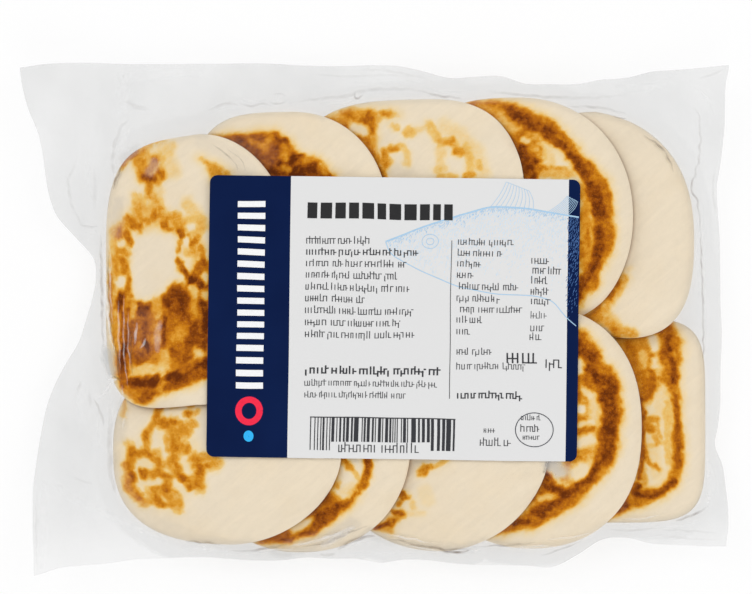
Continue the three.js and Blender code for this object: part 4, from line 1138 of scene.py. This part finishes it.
paper = {
    "columns": 150, "rows": 110, "cornerPoints": 9,
    # the navy band ends and the navy strip starts at these shares of the length
    "band": 0.219, "strip": 0.969,
    "white": (226, 226, 226), "navyDark": (3, 20, 60), "navyLight": (10, 32, 78), "navyScale": 45,
    "roughness": 0.45, "specular": 0.08, "fibreScale": 900, "fibre": 0.06, "fibreHeight": 0.0002,
}


# the paper's height over the pressed film, with a few shallow dents
def labelLevel(x, y):
    return pressedTop(x, y) + label["gap"] + label["thickness"] + rippled(x, y, label["dents"])


# a rounded rectangle: at across, the ends reach length / 2 - corner + sqrt(corner^2 - past^2); its outermost
# rows and columns drop to the film and close its edge
def labelSheet():
    halfL, halfW, corner = label["length"] / 2, label["width"] / 2, label["corner"]
    bend = corner * (1 - np.sin(np.linspace(math.pi / 2, 0, paper["cornerPoints"])))
    rows = np.concatenate([halfW - bend, np.linspace(halfW - corner, -halfW + corner, paper["rows"])[1:-1],
                           -(halfW - bend[::-1])])[::-1]
    past = np.maximum(0, np.abs(rows) - (halfW - corner))
    reach = halfL - corner + np.sqrt(np.maximum(0, corner ** 2 - past ** 2))
    along = np.linspace(-1, 1, paper["columns"] + 1)[None, :] * reach[:, None]
    across = np.broadcast_to(rows[:, None], along.shape)
    along, across = np.pad(along, 1, mode="edge"), np.pad(across, 1, mode="edge")
    x, y = offLabel(along, across)
    drop = np.full(x.shape, label["thickness"] + label["gap"])
    drop[1:-1, 1:-1] = 0
    uv = np.stack([along / label["length"] + 0.5, across / label["width"] + 0.5], axis=-1)
    return np.stack([x, y, labelLevel(x, y) - drop], axis=-1), uv


# white paper with a navy band at the left end and a navy strip at the right end, by the UV map
def paperMaterial():
    material, tree, shader, out = newMaterial("label_paper")
    where = newNode(tree, "ShaderNodeTexCoord")
    along = newNode(tree, "ShaderNodeSeparateXYZ", Vector=where.outputs["UV"]).outputs["X"]
    navy = mathNode(tree, "ADD", mathNode(tree, "LESS_THAN", along, paper["band"]),
                    mathNode(tree, "GREATER_THAN", along, paper["strip"]), clamp=True)
    cloud = noiseNode(tree, where.outputs["Object"], Scale=paper["navyScale"], Detail=3)
    dark = mixColour(tree, cloud, linear(*paper["navyDark"]), linear(*paper["navyLight"]))
    fibre = noiseNode(tree, where.outputs["Object"], Scale=paper["fibreScale"], Detail=2)
    feedAll(tree, shader, {"Base Color": mixColour(tree, navy, linear(*paper["white"]), dark),
                           "Roughness": paper["roughness"], "Specular IOR Level": paper["specular"],
                           "Normal": bumpNode(tree, fibre, paper["fibre"], paper["fibreHeight"])})
    return material


points, uv = labelSheet()
place(gridMesh("label_sheet", points, paperMaterial(), uv=uv), "label_paper", "label")
print("label made")

# the print, in the label's own axes

printing = {
    "lift": 0.06, "lowLift": 0.03, "strokeLift": 0.02, "cell": 2, "ringPoints": 61, "discPoints": 49,
    # the ink's specks: scale, and how the lighter colour comes from the darker
    "roughness": 0.4, "speckScale": 1500, "speckGain": 1.25, "speckRise": 0.01,
    # the paper is stretched a little here and there, and its print with it: height, wavelength, seed
    "stretchA": [(0.18, 31, 73)], "stretchC": [(0.3, 27, 74)],
    "inks": {"heading": (22, 22, 24), "text": (40, 41, 46), "oval": (60, 62, 70), "ladder": (238, 239, 241),
             "ring": (236, 20, 62), "dot": (30, 170, 238), "curves": (160, 195, 222)},
    "heading": dict(start=-30.0, end=20.5, far=21.6, low=34.0, high=5.4, sizes=(2.6, 4.6), gap=1.15),
    "ladder": dict(a=-53.8, length=9.2, low=-24.6, high=41.8, bar=2.1, pitch=4.15),
    # widths and gaps of the bars with the share of each; the first few and the last ones are tall
    "bars": dict(start=-28.2, end=21.2, top=-34.5, low=-45.6, short=-42.6, tallFirst=7, tallFrom=12.5,
                 widths=([0.33, 0.66, 1.0, 1.6], [0.5, 0.2, 0.16, 0.14]),
                 gaps=([0.4, 0.7, 1.1], [0.45, 0.33, 0.22])),
    # left, low, length, height
    "barLine": (-28.3, -34.6, 50.0, 0.35), "rule": (19.6, -27.4, 0.22, 54.4),
    # middle, reach each way, width of the line
    "oval": (49.0, -37.6, 6.5, 5.9, 0.3), "ring": (-49.2, -32.4, 3.6, 4.0, 2.2),
    "eye": [(12.4, 26.6, 2.8, 2.52, 0.22), (12.4, 26.6, 1.3, 1.17, 0.22)],
    "dot": (-49.2, -41.2, 1.7, 1.9),
    # the pale drawing: an upper and a lower line, fans of rays from one edge to another, and short strokes
    "upper": (-3, 26.4, 7.8, 31, 22, 35.7, 32.8, 38.8, 45.7, 38.4, 60.6, 36, 63.4, 35.6),
    "lower": (-3, 26.4, -1.6, 22, 9, 16.4, 22, 11, 35.5, 8.8, 48.4, 8.4, 55.2, 6.9, 59.2, 1.2, 63, -2),
    "lineStep": 0.8, "lineRounds": 12, "weights": (0.5, 0.3),
    "fans": [((32.8, 38.4), (47.6, 37.8), (38.4, 47.4), (46.2, 44.4)),
             ((52.6, 37.2), (59.4, 36), (59.4, 42.8), (63, 41))],
    "rays": 10, "rayPoints": 8, "rayBow": 0.7, "rayWeight": 0.16, "fanWeight": 0.14,
    # name, spread, start and end along, greatest share shown, depth below the upper line, colour
    "strokes": [("strokes", 0.62, -2, 58.8, 0.85, 15, (196, 215, 231)),
                ("scales", 0.5, -2, 58.8, 0.9, 2.2, (150, 190, 222)),
                ("glints", 0.55, 59.6, 63.2, 0.9, 26, (66, 106, 162))],
    # one stroke: how far it strays, its least distance from each line, its height, width and lean
    "stray": 0.4, "belowUpper": 0.3, "aboveLower": 0.2, "strokeHigh": 40, "strokeTall": (0.35, 0.9),
    "strokeWide": 0.17, "strokeLean": 0.28,
    # how the text is written, in heights of a letter: lengths of words, the space between them, and the
    # letters' heights, drops, gaps and joins, with the share of letters that have each
    "hand": dict(word=(1.8, 5.6), space=0.42, least=0.6, tall=1.35, tallShare=0.2, drop=0.35,
                 dropShare=0.07, gap=(0.24, 0.46), joins=[0, 0.45, 1], joinShare=0.72, bar=0.8),
    # lines of text: start and end along, baseline, height, stroke
    "lines": [(-30.3, -8.5, 25.5, 1.9, 0.3), (-30.3, 8.2, 21.6, 1.9, 0.38), (-30.3, 3.5, 17.5, 1.9, 0.3),
              (-30.3, 1.5, 13.4, 1.9, 0.3), (-30.3, 4.6, 9.2, 1.9, 0.3), (-30.3, -10.2, 5.2, 1.9, 0.3),
              (-30.3, 8.6, 1.2, 1.9, 0.3), (-30.3, 2.0, -2.9, 1.9, 0.3), (-30.3, 7.0, -7.0, 1.9, 0.3),
              (-30.1, 15.6, -19.4, 2.1, 0.55), (-30.3, 15.5, -23.6, 1.7, 0.26),
              (-30.3, 4.6, -27.7, 1.7, 0.26), (21.8, 42.2, 25.6, 1.8, 0.28), (21.8, 37.0, 21.7, 1.8, 0.28),
              (21.8, 30.1, 17.9, 1.8, 0.28), (21.8, 27.5, 14.0, 1.8, 0.28), (22.6, 42.5, 10.2, 1.8, 0.28),
              (21.8, 37.2, 6.2, 1.8, 0.28), (23.0, 44.0, 2.4, 1.8, 0.28), (21.8, 30.5, -1.2, 1.8, 0.28),
              (21.8, 27.0, -5.2, 1.8, 0.28), (47.2, 54.0, 19.3, 1.9, 0.3), (47.6, 56.8, 16.0, 1.9, 0.3),
              (47.2, 52.2, 12.6, 1.9, 0.3), (47.0, 53.4, 8.8, 1.9, 0.3), (47.2, 53.4, 5.4, 1.9, 0.3),
              (47.2, 52.0, 0.4, 1.9, 0.22), (47.2, 53.6, -4.0, 1.9, 0.28), (47.0, 52.0, -7.0, 1.9, 0.28),
              (21.9, 34.0, -12.1, 1.8, 0.28), (21.9, 44.8, -17.2, 1.8, 0.26),
              (39.2, 51.0, -15.0, 3.6, 0.55), (52.6, 57.4, -16.4, 2.9, 0.42),
              (22.2, 45.6, -27.3, 1.9, 0.45), (-18.3, 11.6, -46.2, 2.6, 0.36),
              (31.6, 35.2, -38.8, 1.5, 0.24), (30.4, 40.2, -43.4, 2.2, 0.3),
              (44.4, 51.0, -34.2, 1.4, 0.24), (44.2, 51.6, -38.2, 1.9, 0.3),
              (45.0, 50.6, -41.0, 1.4, 0.24)],
}


def inkMaterial(name, colour):
    material, tree, shader, out = newMaterial(name)
    where = newNode(tree, "ShaderNodeTexCoord").outputs["Object"]
    speck = noiseNode(tree, where, Scale=printing["speckScale"], Detail=2)
    light = tuple(min(1, c * printing["speckGain"] + printing["speckRise"]) for c in linear(*colour))
    feedAll(tree, shader, {"Base Color": mixColour(tree, speck, linear(*colour), light),
                           "Roughness": printing["roughness"]})
    return material


# four-cornered patches of print, (n, 4, 2), laid just above the paper
def ink(name, patches, colour, lift=printing["lift"]):
    a, c = np.concatenate(patches).reshape(-1, 2).T
    x, y = offLabel(a + rippled(a, c, printing["stretchA"]), c + rippled(a, c, printing["stretchC"]))
    points = np.stack([x, y, labelLevel(x, y) + lift], axis=-1)
    faces = np.arange(len(points)).reshape(-1, 4).tolist()
    place(looseMesh(name, points, faces, inkMaterial(name, colour), smooth=False), "label_print")


# a rectangle from its lower left corner, cut into cells
def box(along, across, length, height):
    a = np.linspace(along, along + length, 2 + int(length // printing["cell"]))
    c = np.linspace(across, across + height, 2 + int(height // printing["cell"]))
    return cells(*np.meshgrid(a, c))


# the cells of a grid of points, counter-clockwise
def cells(a, c):
    grid = np.stack([a, c], axis=-1)
    return np.stack([grid[:-1, :-1], grid[:-1, 1:], grid[1:, 1:], grid[1:, :-1]], axis=2).reshape(-1, 4, 2)


# a band along a line of points: each edge is half the width to its side
def ribbon(a, c, width):
    da, dc = np.gradient(a), np.gradient(c)
    size = np.maximum(np.hypot(da, dc), 1e-9)
    offA, offC = dc / size * width / 2, -da / size * width / 2
    return cells(np.stack([a + offA, a - offA]), np.stack([c + offC, c - offC]))


# a ring: an ellipse's outline as a band
def ring(a, c, reachA, reachC, width):
    turn = np.linspace(0, 2 * math.pi, printing["ringPoints"])
    return ribbon(a + reachA * np.cos(turn), c + reachC * np.sin(turn), width)


# a filled ellipse: ever larger copies of its outline, joined
def disc(a, c, reachA, reachC):
    turn = np.linspace(0, 2 * math.pi, printing["discPoints"])
    share = np.linspace(0.05, 1, 4)[:, None]
    return cells(a + share * reachA * np.cos(turn), c + share * reachC * np.sin(turn))


# a line of text stands as words of upright strokes, some taller, some joined by a short bar
def scribble(rng, a, c, length, height, weight):
    hand, marks, at = printing["hand"], [], a
    bar = weight * hand["bar"]
    while at < a + length - height * hand["least"]:
        end = min(at + rng.uniform(*hand["word"]) * height, a + length)
        while at < end:
            tall = height * (hand["tall"] if rng.random() < hand["tallShare"] else 1)
            low = c - (hand["drop"] * height if rng.random() < hand["dropShare"] else 0)
            marks.append(box(at, low, weight, tall))
            gap = rng.uniform(*hand["gap"]) * height
            if rng.random() < hand["joinShare"]:
                marks.append(box(at + weight, c + rng.choice(hand["joins"]) * (height - bar), gap, bar))
            at += weight + gap
        at += height * hand["space"]
    return marks


rng = np.random.default_rng(90)
plan = printing["heading"]
heading, at = [], plan["start"]
while at < plan["end"]:
    size = min(rng.uniform(*plan["sizes"]), plan["far"] - at)
    heading.append(box(at, plan["low"], size, plan["high"]))
    at += size + plan["gap"]
text = [patch for a, end, c, height, weight in printing["lines"]
        for patch in scribble(rng, a, c, end - a, height, weight)]
plan = printing["ladder"]
rungs = [box(plan["a"], c, plan["length"], plan["bar"])
         for c in np.arange(plan["low"], plan["high"] - plan["bar"], plan["pitch"])]

# bars of seeded widths under a thin top line, the middle ones shorter
plan = printing["bars"]
bars, at = [box(*printing["barLine"])], plan["start"]
while at < plan["end"]:
    thick = rng.choice(plan["widths"][0], p=plan["widths"][1])
    isTall = len(bars) <= plan["tallFirst"] or at > plan["tallFrom"]
    low = plan["low"] if isTall else plan["short"]
    bars.append(box(at, low, thick, plan["top"] - low))
    at += thick + rng.choice(plan["gaps"][0], p=plan["gaps"][1])

inks = printing["inks"]
ink("print_heading", heading, inks["heading"])
ink("print_text", text + bars + [box(*printing["rule"])], inks["text"])
ink("print_oval", [ring(*printing["oval"])], inks["oval"])
ink("print_ladder", rungs, inks["ladder"])
ink("print_ring", [ring(*printing["ring"])], inks["ring"])
ink("print_dot", [disc(*printing["dot"])], inks["dot"])

# pale blue: two curved lines from one point, fans of rays on the upper one and two small rings
edges = [smoothLine(printing[side], printing["lineStep"], printing["lineRounds"])[:2]
         for side in ("upper", "lower")]
lines = [ribbon(a, c, weight) for (a, c), weight in zip(edges, printing["weights"])]
bow = printing["rayBow"] * np.sin(np.linspace(0, math.pi, printing["rayPoints"]))
for start, end, high, low in np.array(printing["fans"]):
    for share in np.linspace(0, 1, printing["rays"]):
        foot, tip = start * (1 - share) + end * share, high * (1 - share) + low * share
        a, c = np.linspace(foot, tip, printing["rayPoints"]).T
        lines.append(ribbon(a + bow, c, printing["rayWeight"]))
    lines.append(ribbon(*np.linspace(high, low, printing["rayPoints"]).T, printing["fanWeight"]))
lines += [ring(*eye) for eye in printing["eye"]]
ink("print_curves", lines, inks["curves"], printing["lowLift"])


# short slanted strokes at seeded places between the two lines, fewer and fewer below the upper one:
# the share kept is most * exp(-(under / depth)^2)
def strokes(spread, start, end, most, depth):
    stray, wide, lean = printing["stray"], printing["strokeWide"], printing["strokeLean"]
    a, c = np.meshgrid(np.arange(start, end, spread), np.arange(0, printing["strokeHigh"], spread))
    a = (a + rng.uniform(-stray, stray, a.shape) * spread).ravel()
    c = (c + rng.uniform(-stray, stray, c.shape) * spread).ravel()
    under, over = np.interp(a, *edges[0]) - c, c - np.interp(a, *edges[1])
    kept = rng.random(a.shape) < most * np.exp(-(under / depth) ** 2)
    kept &= (under > printing["belowUpper"]) & (over > printing["aboveLower"])
    a, c, top = a[kept], c[kept], rng.uniform(*printing["strokeTall"], np.count_nonzero(kept)) + c[kept]
    corners = ((a, c), (a + wide, c), (a + wide + lean, top), (a + lean, top))
    return np.stack([np.stack(corner, -1) for corner in corners], 1)


for name, spread, start, end, most, depth, colour in printing["strokes"]:
    ink("print_" + name, [strokes(spread, start, end, most, depth)], colour, printing["strokeLift"])
print("print made")

# the floor, the light and the camera

studio = {
    "floorSize": 8.0, "floorLevel": -0.0004, "floorPoints": 9,
    "floorGlow": 0.68, "floorShade": (150, 150, 150), "floorRoughness": 0.9,
    "cloudScale": 6, "cloudShade": 0.995,
    # the dome is bright round the sides and dim overhead, from this height of its unit sphere to that
    "dome": 0.81, "overhead": 0.5, "dim": (0.5, 0.85),
    # name, place, size, power
    "lights": [("key", (-1.1, 1.0, 1.2), 0.9, 9.0), ("fill", (1.3, 0.5, 1.1), 1.0, 6.0),
               ("front", (0.2, -1.4, 1.1), 1.0, 7.0)],
    "camera": (0.00035, 0.0073, 0.883), "lens": 120, "sensor": 36, "clip": (0.05, 20),
}


def makeFloor():
    half = studio["floorSize"] / 2
    spots = np.linspace(-half, half, studio["floorPoints"])
    x, y = np.meshgrid(spots, spots)
    material, tree, shader, out = newMaterial("floor")
    where = newNode(tree, "ShaderNodeTexCoord").outputs["Object"]
    cloud = noiseNode(tree, where, Scale=studio["cloudScale"], Detail=2)
    shade = linear(*studio["floorShade"])
    darker = tuple(c * studio["cloudShade"] for c in shade)
    feedAll(tree, shader, {"Base Color": mixColour(tree, cloud, shade, darker),
                           "Emission Color": (1, 1, 1), "Emission Strength": studio["floorGlow"],
                           "Roughness": studio["floorRoughness"]})
    points = np.stack([x * 1000, y * 1000, np.full_like(x, studio["floorLevel"] * 1000)], axis=-1)
    gridMesh("floor", points, material)


# a soft dome, and lights that are each a large square that faces the bag
def makeLights():
    scene = bpy.context.scene
    world = bpy.data.worlds.new("studio")
    scene.world = world
    world.use_nodes = True
    tree = world.node_tree
    way = newNode(tree, "ShaderNodeTexCoord").outputs["Generated"]
    height = newNode(tree, "ShaderNodeSeparateXYZ", Vector=way).outputs["Z"]
    glow = rangeNode(tree, height, studio["dim"], studio["dome"], studio["overhead"],
                     interpolation_type="SMOOTHSTEP")
    feedAll(tree, tree.nodes["Background"], {"Color": (1, 1, 1), "Strength": glow})
    for name, spot, size, power in studio["lights"]:
        light = bpy.data.lights.new(name, "AREA")
        light.shape, light.size, light.energy = "SQUARE", size, power
        lamp = bpy.data.objects.new(name, light)
        lamp.location = spot
        lamp.visible_glossy = False
        lamp.rotation_euler = (-Vector(spot)).to_track_quat("-Z", "Y").to_euler()
        scene.collection.objects.link(lamp)


def makeCamera():
    lens = bpy.data.cameras.new("camera")
    lens.lens, lens.sensor_width, lens.sensor_fit = studio["lens"], studio["sensor"], "HORIZONTAL"
    lens.clip_start, lens.clip_end = studio["clip"]
    camera = bpy.data.objects.new("camera", lens)
    camera.location = studio["camera"]
    bpy.context.scene.collection.objects.link(camera)
    bpy.context.scene.camera = camera


makeFloor()
makeLights()
makeCamera()
bpy.context.scene.view_settings.view_transform = "Standard"
print("studio made")
